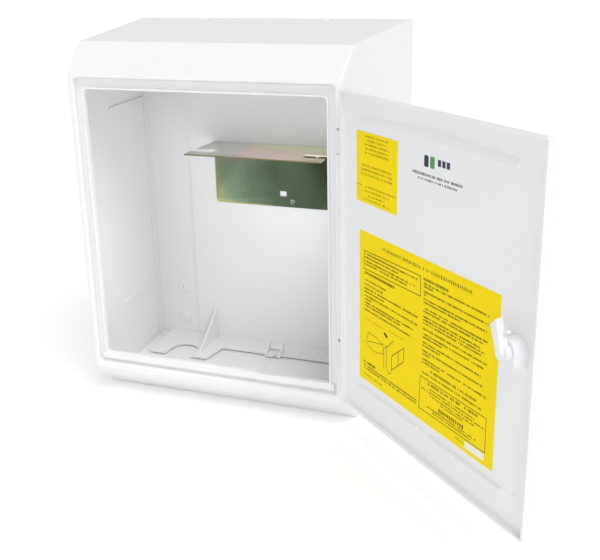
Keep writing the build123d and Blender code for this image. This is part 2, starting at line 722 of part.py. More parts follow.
def door_ribs():
    """Long upper rib with a crown, the lower pair with a post between, and a small nib."""
    high = DOOR_TOP - DOOR_RIB_HEAD
    low = DOOR_BOTTOM + DOOR_RIB_SILL
    foot = low - DOOR_RIB_WIDTH / 2
    ridge = DOOR_RIB_WIDTH - DOOR_RIB_DRAFT
    upper = door_rib(-DOOR_RIB_HALF, DOOR_RIB_HALF, high, DOOR_HEAD_RIB_WIDTH, DOOR_RIB_CROWN, ridge / 2)
    left = door_rib(-DOOR_RIB_HALF, -DOOR_RIB_BREAK, foot, DOOR_RIB_WIDTH, 0, ridge)
    right = door_rib(DOOR_RIB_BREAK, DOOR_RIB_HALF, foot, DOOR_RIB_WIDTH, 0, ridge)
    post = rod_y(0, low, DOOR_POST / 2, PANEL_INSIDE_Y - 0.5, PANEL_INSIDE_Y + DOOR_RIB_PROUD)
    x = DOOR_NIB_AT[0] - DOOR_HALF
    z = DOOR_BOTTOM + DOOR_NIB_AT[1]
    width, height = DOOR_NIB
    nib = block(x, x + width, PANEL_INSIDE_Y - 0.5, PANEL_INSIDE_Y + width, z - height / 2, z + height / 2)
    return [upper, left, right, post, nib]


def knuckle_spans(z):
    """Lower and upper ends of the door's two knuckles on a hinge."""
    inner = CLIP_KNUCKLE / 2 + KNUCKLE_GAP
    outer = inner + DOOR_KNUCKLE
    return ((z - outer, z - inner), (z + inner, z + outer))


def door_knuckle(z0, z1):
    """Knuckle on the door's hinge edge with its arm."""
    barrel = rod_z(HINGE_AXIS_X, HINGE_AXIS_Y, KNUCKLE_RADIUS, z0, z1)
    front = HINGE_AXIS_Y - KNUCKLE_RADIUS
    arm = block(DOOR_HALF - DOOR_EDGE_WALL / 2, HINGE_AXIS_X, front, front + ARM_THICKNESS, z0, z1)
    bore = rod_z(HINGE_AXIS_X, HINGE_AXIS_Y, PIN_RADIUS + PIN_CLEARANCE, z0 - 1, z1 + 1)
    return barrel + arm, bore


def make_door():
    """Door moulding as it hangs when closed."""
    outer = round_rectangle(-DOOR_HALF, DOOR_HALF, DOOR_BOTTOM, DOOR_TOP, RECESS_RADIUS - DOOR_SIDE_GAP)
    door = along_y(outer, DOOR_FACE_Y, DOOR_EDGE_Y)
    face_edges = [e for e in door.edges() if abs(e.center().Y - DOOR_FACE_Y) < 0.01]
    door = fillet(face_edges, DOOR_EDGE_RADIUS)
    wall = DOOR_EDGE_WALL
    inner = round_rectangle(
        -DOOR_HALF + wall,
        DOOR_HALF - wall,
        DOOR_BOTTOM + wall,
        DOOR_TOP - wall,
        DOOR_EDGE_RADIUS,
    )
    hollow = along_y(inner, PANEL_INSIDE_Y, DOOR_EDGE_Y + 1)
    floor_edges = [e for e in hollow.edges() if abs(e.center().Y - PANEL_INSIDE_Y) < 0.01]
    door -= fillet(floor_edges, DOOR_EDGE_RADIUS / 2)
    for rib in door_ribs():
        door += rib
    for z in HINGE_HEIGHTS:
        for z0, z1 in knuckle_spans(z):
            knuckle, bore = door_knuckle(z0, z1)
            door = door + knuckle - bore
    neck_hole = ESCUTCHEON_NECK + SCREW_PILOT_CLEARANCE
    return door - rod_y(LATCH_X, LATCH_Z, neck_hole, DOOR_FACE_Y - 1, PANEL_INSIDE_Y + 1)


def make_hinge_clip(z):
    """Frame leaf of a hinge: a base in the pocket and the middle knuckle."""
    side = FRONT_WIDTH / 2
    back = POCKET_Y - CLIP_SEAT
    half = POCKET_HALF - CLIP_SEAT
    base = block(POCKET_X + CLIP_SEAT, side, back - CLIP_BASE, back, z - half, z + half)
    arm_half = CLIP_KNUCKLE / 2
    arm = block(HINGE_AXIS_X - KNUCKLE_RADIUS, side, HINGE_AXIS_Y, back, z - arm_half, z + arm_half)
    barrel = rod_z(HINGE_AXIS_X, HINGE_AXIS_Y, KNUCKLE_RADIUS, z - arm_half, z + arm_half)
    clip = base + arm + barrel - clip_slots(z)
    bore = PIN_RADIUS + PIN_CLEARANCE
    clip -= rod_z(HINGE_AXIS_X, HINGE_AXIS_Y, bore, z - KNUCKLE_STACK, z + KNUCKLE_STACK)
    for screw_z in clip_screw_heights(z):
        clip -= clip_screw_hole(screw_z)
        clip -= clip_screw_head(screw_z, SCREW_PILOT_CLEARANCE)
    return clip


def clip_screw_head(z, clearance):
    """Countersunk head of a clip screw, flush with the clip's base."""
    front = POCKET_Y - CLIP_SEAT - CLIP_BASE
    depth = CLIP_SCREW_HEAD - CLIP_SCREW_RADIUS
    wide = CLIP_SCREW_HEAD + clearance
    cone = Cone(wide, CLIP_SCREW_RADIUS + clearance, depth)
    return Pos(clip_screw_x(), front + depth / 2, z) * Rot(-90, 0, 0) * cone


def make_clip_screws():
    """The four countersunk screws of the hinge clips."""
    front = POCKET_Y - CLIP_SEAT - CLIP_BASE
    screws = []
    for hinge_z in HINGE_HEIGHTS:
        for z in clip_screw_heights(hinge_z):
            shank = rod_y(clip_screw_x(), z, CLIP_SCREW_RADIUS, front + 0.2, front + CLIP_SCREW_LENGTH)
            screws.append(shank + clip_screw_head(z, 0))
    return Compound(screws)


def make_hinge_pin(z):
    """Headed pin through the three knuckles of a hinge."""
    shank = rod_z(HINGE_AXIS_X, HINGE_AXIS_Y, PIN_RADIUS, z - KNUCKLE_STACK - PIN_HEAD, z + KNUCKLE_STACK)
    head_z = z + KNUCKLE_STACK + PIN_HEAD_GAP
    head = rod_z(HINGE_AXIS_X, HINGE_AXIS_Y, PIN_HEAD_RADIUS, head_z, head_z + PIN_HEAD)
    link = rod_z(HINGE_AXIS_X, HINGE_AXIS_Y, PIN_RADIUS, z, head_z)
    return shank + link + head


def make_escutcheon():
    """Ring on the outside of the door, with the well that the key enters."""
    face = DOOR_FACE_Y - ESCUTCHEON_PROUD
    flange = rod_y(LATCH_X, LATCH_Z, ESCUTCHEON_RADIUS, face, DOOR_FACE_Y)
    rim = [e for e in flange.edges() if abs(e.center().Y - face) < 0.01]
    flange = chamfer(rim, ESCUTCHEON_PROUD * 0.5)
    body = flange + rod_y(LATCH_X, LATCH_Z, ESCUTCHEON_NECK, DOOR_FACE_Y - 0.5, DOOR_FACE_Y + NECK_LENGTH)
    body -= rod_y(LATCH_X, LATCH_Z, KEY_WELL_RADIUS, face - 1, face + KEY_WELL_DEPTH)
    return body - rod_y(LATCH_X, LATCH_Z, spindle_bore(), face, DOOR_FACE_Y + NECK_LENGTH + 1)


def spindle_bore():
    """Radius of the bores that the spindle turns in."""
    return SPINDLE_RADIUS + SPINDLE_CLEARANCE


def housing_outline(radius):
    """Arched outline of the latch housing: a half round over straight sides and a flat foot."""
    drop = HOUSING_DROP + radius - HOUSING_TOP_RADIUS
    arch = Pos(LATCH_X, LATCH_Z) * Circle(radius)
    arch -= Pos(LATCH_X, LATCH_Z - radius) * Rectangle(3 * radius, 2 * radius)
    foot = Pos(LATCH_X, LATCH_Z - drop / 2) * Rectangle(2 * radius, drop)
    return (arch + foot).face()


def make_housing():
    """Tapered arched block on the inside of the door that carries the spindle."""
    top_y = PANEL_INSIDE_Y + HOUSING_HEIGHT
    sections = [
        Plane.XZ.offset(-PANEL_INSIDE_Y) * housing_outline(HOUSING_BASE_RADIUS),
        Plane.XZ.offset(-top_y) * housing_outline(HOUSING_TOP_RADIUS),
    ]
    barrel = loft(sections, ruled=True)
    rim = [e for e in barrel.edges() if abs(e.center().Y - top_y) < 0.01]
    barrel = chamfer(rim, HOUSING_EDGE)
    neck = ESCUTCHEON_NECK + SCREW_PILOT_CLEARANCE
    barrel -= rod_y(LATCH_X, LATCH_Z, neck, PANEL_INSIDE_Y - 1, DOOR_FACE_Y + NECK_LENGTH + 0.2)
    return barrel - rod_y(LATCH_X, LATCH_Z, spindle_bore(), PANEL_INSIDE_Y, top_y + 1)


def make_spindle():
    """Spindle with a three-sided key head outside and a square for the cam inside."""
    well_floor = DOOR_FACE_Y - ESCUTCHEON_PROUD + KEY_WELL_DEPTH
    top_y = PANEL_INSIDE_Y + HOUSING_HEIGHT
    shaft = rod_y(LATCH_X, LATCH_Z, SPINDLE_RADIUS, well_floor, top_y)
    key = RegularPolygon(KEY_RADIUS, 3)
    head = along_y(Pos(LATCH_X, LATCH_Z) * key, well_floor - KEY_WELL_DEPTH + 1, well_floor + 1)
    square = along_y(Pos(LATCH_X, LATCH_Z) * Rectangle(CAM_SQUARE, CAM_SQUARE), top_y - 1, cam_socket_end())
    return shaft + head + square


def cam_socket_end():
    """Depth of the blind socket that takes the spindle's square."""
    return CAM_Y + CAM_HUB_HEIGHT - CAM_SOCKET_FLOOR


def make_cam():
    """Lever that hooks behind the frame, drawn pointing at the door's free edge."""
    place = Pos(LATCH_X, LATCH_Z) * Rot(0, 0, 180)
    heel = CAM_HEEL_WIDTH / 2
    tip = CAM_TIP_WIDTH / 2
    back = CAM_BACK_WIDTH / 2
    short = CAM_LENGTH - CAM_TIP_SLANT
    near = polygon((-CAM_HEEL, -heel), (short, -back), (CAM_LENGTH, back), (-CAM_HEEL, heel))
    far = polygon((-CAM_EDGE, -back), (short, -tip), (CAM_LENGTH, tip), (-CAM_EDGE, back))
    sections = [
        Plane.XZ.offset(-CAM_Y) * place * near,
        Plane.XZ.offset(-CAM_Y - CAM_THICKNESS) * place * far,
    ]
    lever = loft(sections, ruled=True)
    lever = chamfer(lever.edges(), CAM_EDGE)
    lever += along_y(place * Circle(CAM_HUB_RADIUS), CAM_Y, CAM_Y + CAM_HUB_HEIGHT)
    length, reach, thickness = CAM_NUB
    nub = Pos(CAM_NUB_AT, reach / 2) * Rectangle(length, reach)
    lever += along_y(place * nub, CAM_Y, CAM_Y + thickness)
    side = CAM_SQUARE + 2 * CAM_SQUARE_CLEARANCE
    socket_end = cam_socket_end() + CAM_SQUARE_CLEARANCE
    return lever - along_y(Pos(LATCH_X, LATCH_Z) * Rectangle(side, side), CAM_Y - 1, socket_end)


def pan_head(x, z, radius, y0, y1, towards):
    """Rounded screw head between two depths with a cross recess on its outer face."""
    head = rod_y(x, z, radius, y0, y1)
    outer = y0 if towards < 0 else y1
    rim = [e for e in head.edges() if abs(e.center().Y - outer) < 0.01]
    head = chamfer(rim, (y1 - y0) * 0.4)
    length, width, depth = SCREW_RECESS
    near, far = sorted((outer - towards * depth, outer + towards))
    for span in ((length, width), (width, length)):
        head -= block(x - span[0] / 2, x + span[0] / 2, near, far, z - span[1] / 2, z + span[1] / 2)
    return head


def on_bracket(place):
    """Place on the hanging plate, measured from its left edge and down from its top."""
    return (BRACKET_LEFT + place[0], BRACKET_TOP - place[1])


def bracket_screw_tip():
    """Depth that the bracket screws reach to in their bosses."""
    return PANEL_Y - BRACKET_SHEET + SCREW_LENGTH


def make_bracket():
    """Bent angle on the back wall: a hanging plate and the shelf that a meter hangs from."""
    back = PANEL_Y
    front = back - BRACKET_REACH
    low = BRACKET_TOP - BRACKET_DROP
    sheet = BRACKET_SHEET
    profile = polygon(
        (back, low),
        (back, BRACKET_TOP),
        (front, BRACKET_TOP),
        (front, BRACKET_TOP - sheet),
        (back - sheet, BRACKET_TOP - sheet),
        (back - sheet, low),
    )
    right = BRACKET_LEFT + BRACKET_WIDTH
    angle = along_x(profile, BRACKET_LEFT, right)
    inside = [
        e for e in angle.edges()
        if is_level_edge(e) and hypot(e.center().Y - back + sheet, e.center().Z - BRACKET_TOP + sheet) < 0.01
    ]
    angle = fillet(inside, BRACKET_BEND - sheet / 2)
    outside = [
        e for e in angle.edges()
        if is_level_edge(e) and hypot(e.center().Y - back, e.center().Z - BRACKET_TOP) < 0.01
    ]
    angle = fillet(outside, BRACKET_BEND + sheet / 2)
    angle &= along_y(
        round_rectangle(BRACKET_LEFT, right, low, BRACKET_TOP + 2 * BRACKET_CORNER, BRACKET_CORNER),
        front - 1,
        back + 1,
    )
    middle = (BRACKET_LEFT + right) / 2
    slot_y = front + METER_SLOT_SETBACK
    for side in (-1, 1):
        mouth = middle + side * BRACKET_WIDTH / 2
        end = mouth - side * METER_SLOT_LENGTH
        x0, x1 = sorted((end, mouth + side * METER_SLOT_LENGTH))
        slot = round_rectangle(x0, x1, slot_y, slot_y + METER_SLOT_WIDTH, METER_SLOT_RADIUS)
        angle -= along_z(slot, BRACKET_TOP - 2 * sheet, BRACKET_TOP + sheet)
        hole_x = mouth - side * BEND_HOLE_INSET
        hole_y = back - sheet - BEND_HOLE_SETBACK
        hole = Pos(hole_x, hole_y) * Rectangle(*BEND_HOLE)
        angle -= along_z(hole, BRACKET_TOP - 2 * sheet, BRACKET_TOP + sheet)
    square = Pos(*on_bracket(SQUARE_HOLE_AT)) * Rectangle(*SQUARE_HOLE)
    angle -= along_y(square, back - 2 * sheet, back + sheet)
    for x, z in map(on_bracket, BRACKET_SCREWS_AT):
        angle -= rod_y(x, z, SCREW_RADIUS + SCREW_HOLE_CLEARANCE, back - 2 * sheet, back + sheet)
    return angle


def make_bracket_screws():
    """Pan-head screws that hold the bracket to the back tray."""
    seat = PANEL_Y - BRACKET_SHEET
    screws = []
    for x, z in map(on_bracket, BRACKET_SCREWS_AT):
        shank = rod_y(x, z, SCREW_RADIUS, seat - 0.5, bracket_screw_tip())
        screws.append(shank + pan_head(x, z, SCREW_HEAD_RADIUS, seat - SCREW_HEAD, seat, -1))
    return Compound(screws)


def small_label_outline():
    """Corners of the small sheet, measured from the door's hinge side and head."""
    right = DOOR_HALF - SMALL_LABEL_INSET[0]
    high = DOOR_TOP - SMALL_LABEL_INSET[1]
    return (right - SMALL_LABEL_SIZE[0], right, high - SMALL_LABEL_SIZE[1], high)


def large_label_outline():
    """Corners of the large sheet, measured from both sides and the sill of the door."""
    free, hinge, sill = LARGE_LABEL_INSET
    low = DOOR_BOTTOM + sill
    return (free - DOOR_HALF, DOOR_HALF - hinge, low, low + LARGE_LABEL_HEIGHT)


def make_label(outline):
    """Thin printed sheet on the inside of the door."""
    x0, x1, z0, z1 = outline
    sheet = round_rectangle(x0, x1, z0, z1, LABEL_RADIUS)
    return along_y(sheet, PANEL_INSIDE_Y, PANEL_INSIDE_Y + LABEL_THICKNESS)


def opened(shape):
    """Turn a piece of the closed door to where the door stands open."""
    return shape.rotate(HINGE_AXIS, DOOR_OPEN_DEG)


def unlocked(shape):
    """Turn a piece of the locked latch back to where the cam stands, then open the door."""
    return opened(shape.rotate(CAM_AXIS, CAM_OPEN_DEG - 180))


def main():
    hull = outer_hull()
    pieces = {
        "front_shell": make_front_shell(hull),
        "back_tray": make_back_tray(hull),
        "meter_bracket": make_bracket(),
        "bracket_screws": make_bracket_screws(),
        "lower_hinge_clip": make_hinge_clip(HINGE_HEIGHTS[0]),
        "upper_hinge_clip": make_hinge_clip(HINGE_HEIGHTS[1]),
        "lower_hinge_pin": make_hinge_pin(HINGE_HEIGHTS[0]),
        "upper_hinge_pin": make_hinge_pin(HINGE_HEIGHTS[1]),
        "hinge_clip_screws": make_clip_screws(),
        "door": opened(make_door()),
        "small_label": opened(make_label(small_label_outline())),
        "large_label": opened(make_label(large_label_outline())),
        "latch_escutcheon": opened(make_escutcheon()),
        "latch_housing": opened(make_housing()),
        "latch_spindle": unlocked(make_spindle()),
        "latch_cam": unlocked(make_cam()),
    }
    os.makedirs("parts", exist_ok=True)
    for name, shape in pieces.items():
        export_step(shape, "parts/" + name + ".step")
        print(name, len(shape.solids()), "solids", round(shape.volume), "mm3")


main()
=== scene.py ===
# %% [markdown]
# # A gas meter box for an outside wall
# The box is a white moulded carcass with a sloping hood, a flat back tray and a door
# that hangs open on the right. Inside the door are two yellow printed sheets and a
# white turning latch. A bent steel bracket for the meter is fastened to the back.
# The solid shapes come from the CAD frame. This script gives them their finishes, and
# makes the pieces that need finer detail than the frame has: the bracket, the screws
# and the printed sheets.

import math

import bmesh
import bpy
from mathutils import Matrix, Vector


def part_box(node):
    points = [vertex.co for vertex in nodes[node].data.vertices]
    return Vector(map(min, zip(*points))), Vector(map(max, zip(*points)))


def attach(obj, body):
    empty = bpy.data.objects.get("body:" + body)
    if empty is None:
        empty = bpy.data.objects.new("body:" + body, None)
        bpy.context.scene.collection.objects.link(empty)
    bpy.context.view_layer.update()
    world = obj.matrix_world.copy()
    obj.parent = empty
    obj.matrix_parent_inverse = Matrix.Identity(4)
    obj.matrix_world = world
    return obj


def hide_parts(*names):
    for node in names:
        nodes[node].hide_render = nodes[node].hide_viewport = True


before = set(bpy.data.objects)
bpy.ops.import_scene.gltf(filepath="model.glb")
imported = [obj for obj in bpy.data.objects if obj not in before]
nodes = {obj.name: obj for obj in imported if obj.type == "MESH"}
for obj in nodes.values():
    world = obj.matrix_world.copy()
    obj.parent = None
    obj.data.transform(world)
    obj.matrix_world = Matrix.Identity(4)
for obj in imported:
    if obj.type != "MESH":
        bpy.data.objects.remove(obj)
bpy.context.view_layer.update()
MM = 0.001


def in_mm(corners):
    """Corners in millimetres, rounded for printing."""
    return [[round(value / MM, 1) for value in corner] for corner in corners]


# %% [markdown]
# ## Where the camera stands
# The photograph was taken from the right and from above the hood, with a lens of
# medium length. The camera's place and its three angles were found by matching
# the box's corners. A camera looks along its own -Z axis, so its matrix is made of
# the directions to the right, up and backwards.


# %% Camera
def add_object(name, data):
    """A new object in the scene that shows this data."""
    made = bpy.data.objects.new(name, data)
    bpy.context.scene.collection.objects.link(made)
    return made


CAMERA_PLACE = Vector((0.5748, -1.2510, 0.6413))
CAMERA_YAW = math.radians(21.1497)
CAMERA_PITCH = math.radians(-19.1625)
CAMERA_ROLL = math.radians(-1.1499)
SENSOR_WIDTH = 36.0
LENS = 56.13

forward = Vector(
    (
        -math.sin(CAMERA_YAW) * math.cos(CAMERA_PITCH),
        math.cos(CAMERA_YAW) * math.cos(CAMERA_PITCH),
        math.sin(CAMERA_PITCH),
    )
)
level = Vector((math.cos(CAMERA_YAW), math.sin(CAMERA_YAW), 0))
upright = level.cross(forward)
right = math.cos(CAMERA_ROLL) * level + math.sin(CAMERA_ROLL) * upright
up = -math.sin(CAMERA_ROLL) * level + math.cos(CAMERA_ROLL) * upright
camera_data = bpy.data.cameras.new("camera")
camera_data.sensor_width = SENSOR_WIDTH
camera_data.lens = LENS
camera = add_object("camera", camera_data)
turn = Matrix((right, up, -forward)).transposed().to_4x4()
camera.matrix_world = Matrix.Translation(CAMERA_PLACE) @ turn
bpy.context.scene.camera = camera
print("camera looks along", [round(v, 3) for v in forward])

# %% [markdown]
# ## How the door stands
# The door was drawn closed and then turned about its hinge line. The sheets and their
# print are easier to place on the closed door, so one matrix turns a closed place
# into the open one with the same angle and the same axis.

# %% The turn of the open door
HINGE_PLACE = Vector((199.3 * MM, -131.3 * MM, 0))
DOOR_OPEN = math.radians(137.85)
open_door = (
    Matrix.Translation(HINGE_PLACE)
    @ Matrix.Rotation(DOOR_OPEN, 4, "Z")
    @ Matrix.Translation(-HINGE_PLACE)
)
print("door angle:", round(math.degrees(DOOR_OPEN), 2), "degrees")

# %% [markdown]
# ## Helpers for node trees
# Every material and every Geometry Nodes tree below is made of the same few steps:
# add a node, set its values, link sockets. These helpers keep the cells short. An
# input can take a socket or a plain value, so that one call serves for both.


# %% Node helpers
def add_node(tree, kind, **settings):
    """A new node with its properties set."""
    node = tree.nodes.new(kind)
    for key, value in settings.items():
        setattr(node, key, value)
    return node


def join(tree, source, target):
    """Link an output socket to an input socket."""
    tree.links.new(source, target)


def feed(tree, value, target):
    """Give an input socket another socket's value, or a plain one."""
    if isinstance(value, bpy.types.NodeSocket):
        join(tree, value, target)
    else:
        target.default_value = value


def new_group(name, kind, inputs, outputs):
    """A node group with named sockets, and its input and output nodes."""
    tree = bpy.data.node_groups.new(name, kind)
    for label, socket_kind, value in inputs:
        socket = tree.interface.new_socket(name=label, in_out="INPUT", socket_type=socket_kind)
        if value is not None:
            socket.default_value = value
    for label, socket_kind in outputs:
        tree.interface.new_socket(name=label, in_out="OUTPUT", socket_type=socket_kind)
    return tree, add_node(tree, "NodeGroupInput"), add_node(tree, "NodeGroupOutput")


def maths(tree, operation, first, second):
    """A Math node whose inputs are sockets or plain numbers."""
    node = add_node(tree, "ShaderNodeMath", operation=operation)
    feed(tree, first, node.inputs[0])
    feed(tree, second, node.inputs[1])
    return node.outputs[0]


def noise(tree, place, scale, detail=2.0, distortion=0.0):
    """A noise texture read at a place."""
    node = add_node(tree, "ShaderNodeTexNoise")
    values = {"Vector": place, "Scale": scale, "Detail": detail, "Distortion": distortion}
    for label, value in values.items():
        feed(tree, value, node.inputs[label])
    return node.outputs[0]


# %% Material helpers
def new_material(name):
    """An empty material, its tree, its Principled shader and its object coordinates."""
    material = bpy.data.materials.new(name)
    material.use_nodes = True
    tree = material.node_tree
    shader = tree.nodes["Principled BSDF"]
    coordinates = add_node(tree, "ShaderNodeTexCoord").outputs["Object"]
    return material, tree, shader, coordinates


def colour_ramp(tree, value, stops):
    """A Color Ramp fed by a value, with its stops as (place, colour)."""
    ramp = add_node(tree, "ShaderNodeValToRGB")
    elements = ramp.color_ramp.elements
    while len(elements) < len(stops):
        elements.new(0.5)
    for element, (place, colour) in zip(elements, stops):
        element.position = place
        element.color = (*colour, 1.0)
    join(tree, value, ramp.inputs[0])
    return ramp.outputs[0]


def mottle(tree, mask, dark, light, shader):
    """Base colour that wanders between two close tones."""
    join(tree, colour_ramp(tree, mask, [(0.3, dark), (0.7, light)]), shader.inputs["Base Color"])


def uneven_gloss(tree, mask, share, base, shader):
    """Roughness that a mask raises a little above its base."""
    uneven = maths(tree, "MULTIPLY", mask, share)
    join(tree, maths(tree, "ADD", uneven, base), shader.inputs["Roughness"])


def raise_grain(tree, height, strength, distance, shader):
    """Shade the surface as if it had this height."""
    bump = add_node(tree, "ShaderNodeBump")
    bump.inputs["Strength"].default_value = strength
    bump.inputs["Distance"].default_value = distance
    join(tree, height, bump.inputs["Height"])
    join(tree, bump.outputs[0], shader.inputs["Normal"])


# %% [markdown]
# ## The moulded surface
# Sheet moulding and injection moulding both leave a faint texture: a very fine grain,
# a slower waviness where the wall shrank, and slightly duller and brighter patches.
# All the white pieces share it, so it is one group. It puts out a height for the
# Bump node and two masks, and each material decides how strongly it uses them.

# %% Moulded grain group
PATCH_SIZE = 6.0
grain_tree, grain_in, grain_out = new_group(
    "Moulded grain",
    "ShaderNodeTree",
    [
        ("Place", "NodeSocketVector", None),
        ("Grain size", "NodeSocketFloat", 900.0),
        ("Wave size", "NodeSocketFloat", 14.0),
        ("Wave share", "NodeSocketFloat", 0.35),
    ],
    [("Height", "NodeSocketFloat"), ("Patches", "NodeSocketFloat"), ("Specks", "NodeSocketFloat")],
)
grain_place = grain_in.outputs["Place"]
fine = noise(grain_tree, grain_place, grain_in.outputs["Grain size"])
slow = noise(grain_tree, grain_place, grain_in.outputs["Wave size"])
patches = noise(grain_tree, grain_place, PATCH_SIZE, 4.0)
wave = maths(grain_tree, "MULTIPLY", slow, grain_in.outputs["Wave share"])
join(grain_tree, maths(grain_tree, "ADD", fine, wave), grain_out.inputs["Height"])
join(grain_tree, patches, grain_out.inputs["Patches"])
join(grain_tree, fine, grain_out.inputs["Specks"])
print("group made:", grain_tree.name)

# %% [markdown]
# ## White plastics
# The carcass and the door have a satin surface, the small fittings a smoother and
# glossier one. The base colour stays just below paper white, so that the edges and
# the shaded planes still show.


# %% White plastic materials
def white_plastic(name, bright, shade, roughness, grain, grain_depth):
    """White moulded plastic with grain, soft patches and slightly uneven gloss."""
    material, tree, shader, coordinates = new_material(name)
    group = add_node(tree, "ShaderNodeGroup", node_tree=grain_tree)
    join(tree, coordinates, group.inputs["Place"])
    group.inputs["Grain size"].default_value = grain
    mottle(tree, group.outputs["Patches"], shade, bright, shader)
    uneven_gloss(tree, group.outputs["Specks"], 0.12, roughness, shader)
    raise_grain(tree, group.outputs["Height"], 0.35, grain_depth, shader)
    shader.inputs["IOR"].default_value = 1.5
    return material


carcass_white = white_plastic(
    "carcass white", (0.855, 0.862, 0.870), (0.835, 0.843, 0.852), 0.36, 900.0, 0.06 * MM
)
door_white = white_plastic(
    "door white", (0.862, 0.868, 0.876), (0.842, 0.850, 0.860), 0.33, 700.0, 0.06 * MM
)
fitting_white = white_plastic(
    "fitting white", (0.845, 0.850, 0.862), (0.830, 0.836, 0.850), 0.24, 1500.0, 0.03 * MM
)
print("white materials made")

# %% [markdown]
# ## Steel
# The small screws and the hinge pins are bright zinc-plated steel: grey, metallic,
# with fine turning marks that make the gloss uneven.
# The bracket has a yellow passivated zinc coat. Its film is so thin that it shows
# rainbow colours: green, darker to the right, on the upright plate, and rose on the
# shelf, with gold along the edges. The colours follow how the part hung in the bath.
# The place across the bracket, moved about by a slow and a fine noise, drives one
# colour ramp for the plate and one for the shelf. Masks add what hangs on one place:
# a grey smear at the plate's top left, gold at its foot, straw at the shelf's back.
# A dark brown line along the shelf's front edge is painted shade.

# %% Zinc steel material
zinc, tree, shader, coordinates = new_material("zinc plated steel")
marks = noise(tree, coordinates, 1200.0, 3.0)
mottle(tree, marks, (0.44, 0.44, 0.43), (0.60, 0.60, 0.58), shader)
uneven_gloss(tree, marks, 0.20, 0.22, shader)
shader.inputs["Metallic"].default_value = 1.0
print("material made:", zinc.name)

# %% Where the bracket stands
SHEET = 2.0 * MM
BRACKET_LEFT = -102.5 * MM
BRACKET_RIGHT = 119.5 * MM
BRACKET_WIDTH = BRACKET_RIGHT - BRACKET_LEFT
BRACKET_TOP = 355.3 * MM
BRACKET_FOOT = 253.5 * MM
SHELF_FRONT = 15.0 * MM
print("bracket width in mm:", round(BRACKET_WIDTH / MM, 1))


# %% Film helpers
def blend_colours(tree, share, first, second):
    """Mix two colours by a share; the second may be a plain colour."""
    node = add_node(tree, "ShaderNodeMix", data_type="RGBA")
    join(tree, share, node.inputs[0])
    join(tree, first, node.inputs[6])
    feed(tree, (*second, 1.0) if isinstance(second, tuple) else second, node.inputs[7])
    return node.outputs[2]


def rise(tree, value, low, high):
    """A share that goes from 0 at low to 1 at high, and low may be the larger."""
    node = add_node(tree, "ShaderNodeMapRange")
    node.inputs["From Min"].default_value = low
    node.inputs["From Max"].default_value = high
    join(tree, value, node.inputs["Value"])
    return node.outputs[0]


def all_of(tree, first, *others):
    """Masks and shares multiplied together."""
    for other in others:
        first = maths(tree, "MULTIPLY", first, other)
    return first


def wander(tree, value, reach):
    """A noise value turned into a shift to either side."""
    return maths(tree, "MULTIPLY", maths(tree, "SUBTRACT", value, 0.5), reach)


# %% Passivated steel material
PLATE_FILM = [
    (0.00, (0.70, 0.70, 0.36)),
    (0.03, (0.52, 0.64, 0.36)),
    (0.12, (0.36, 0.52, 0.33)),
    (0.27, (0.185, 0.260, 0.170)),
    (0.50, (0.100, 0.142, 0.090)),
    (0.75, (0.068, 0.095, 0.056)),
    (1.00, (0.085, 0.105, 0.050)),
]
SHELF_FILM = [
    (0.00, (0.54, 0.54, 0.44)),
    (0.10, (0.78, 0.77, 0.72)),
    (0.26, (0.72, 0.70, 0.66)),
    (0.40, (0.94, 0.74, 0.70)),
    (0.62, (0.98, 0.76, 0.68)),
    (0.82, (0.98, 0.84, 0.68)),
    (1.00, (0.70, 0.58, 0.36)),
]
FILM_GOLD = (0.62, 0.50, 0.14)
FILM_STRAW = (0.90, 0.90, 0.60)
FILM_SMEAR = (0.62, 0.54, 0.52)
# Painted shade: the dark brown laid on the shelf's front edge.
SHELF_EDGE_PAINTED_SHADE = (0.20, 0.16, 0.07)
passivated, tree, shader, coordinates = new_material("passivated steel")
stretch = add_node(tree, "ShaderNodeMapping")
stretch.inputs["Scale"].default_value = (1.0, 1.5, 0.7)
stretch.inputs["Rotation"].default_value = (0.0, 0.5, 0.25)
join(tree, coordinates, stretch.inputs["Vector"])
drift = noise(tree, stretch.outputs[0], 11.0, 5.0, 0.8)
streaks = noise(tree, stretch.outputs[0], 160.0, 6.0)
split = add_node(tree, "ShaderNodeSeparateXYZ")
join(tree, coordinates, split.inputs[0])
place_x, place_y, place_z = split.outputs
across = maths(tree, "DIVIDE", maths(tree, "SUBTRACT", place_x, BRACKET_LEFT), BRACKET_WIDTH)
shift = maths(tree, "ADD", wander(tree, drift, 0.26), wander(tree, streaks, 0.07))
film_place = maths(tree, "ADD", across, shift)

# %% Colours of the plate
plate_film = colour_ramp(tree, film_place, PLATE_FILM)
at_left = rise(tree, film_place, 0.42, 0.12)
at_top = rise(tree, place_z, 312.0 * MM, 336.0 * MM)
smear = all_of(tree, rise(tree, drift, 0.34, 0.50), at_left, at_top, 0.8)
plate_film = blend_colours(tree, smear, plate_film, FILM_SMEAR)
at_foot = maths(tree, "LESS_THAN", place_z, BRACKET_FOOT + 2.5 * MM)
foot_gold = all_of(tree, at_foot, 0.7, rise(tree, film_place, 0.55, 0.20))
plate_film = blend_colours(tree, foot_gold, plate_film, FILM_GOLD)

# %% Colours of the shelf
shelf_film = colour_ramp(tree, film_place, SHELF_FILM)
back_right = all_of(
    tree, rise(tree, place_y, 55.0 * MM, 100.0 * MM), rise(tree, film_place, 0.30, 0.50)
)
shelf_film = blend_colours(tree, back_right, shelf_film, FILM_STRAW)
# Painted shade: the shelf's front edge is darkened to a dark brown.
painted_shade_edge = maths(tree, "LESS_THAN", place_y, SHELF_FRONT + 0.2 * MM)
shelf_film = blend_colours(tree, painted_shade_edge, shelf_film, SHELF_EDGE_PAINTED_SHADE)

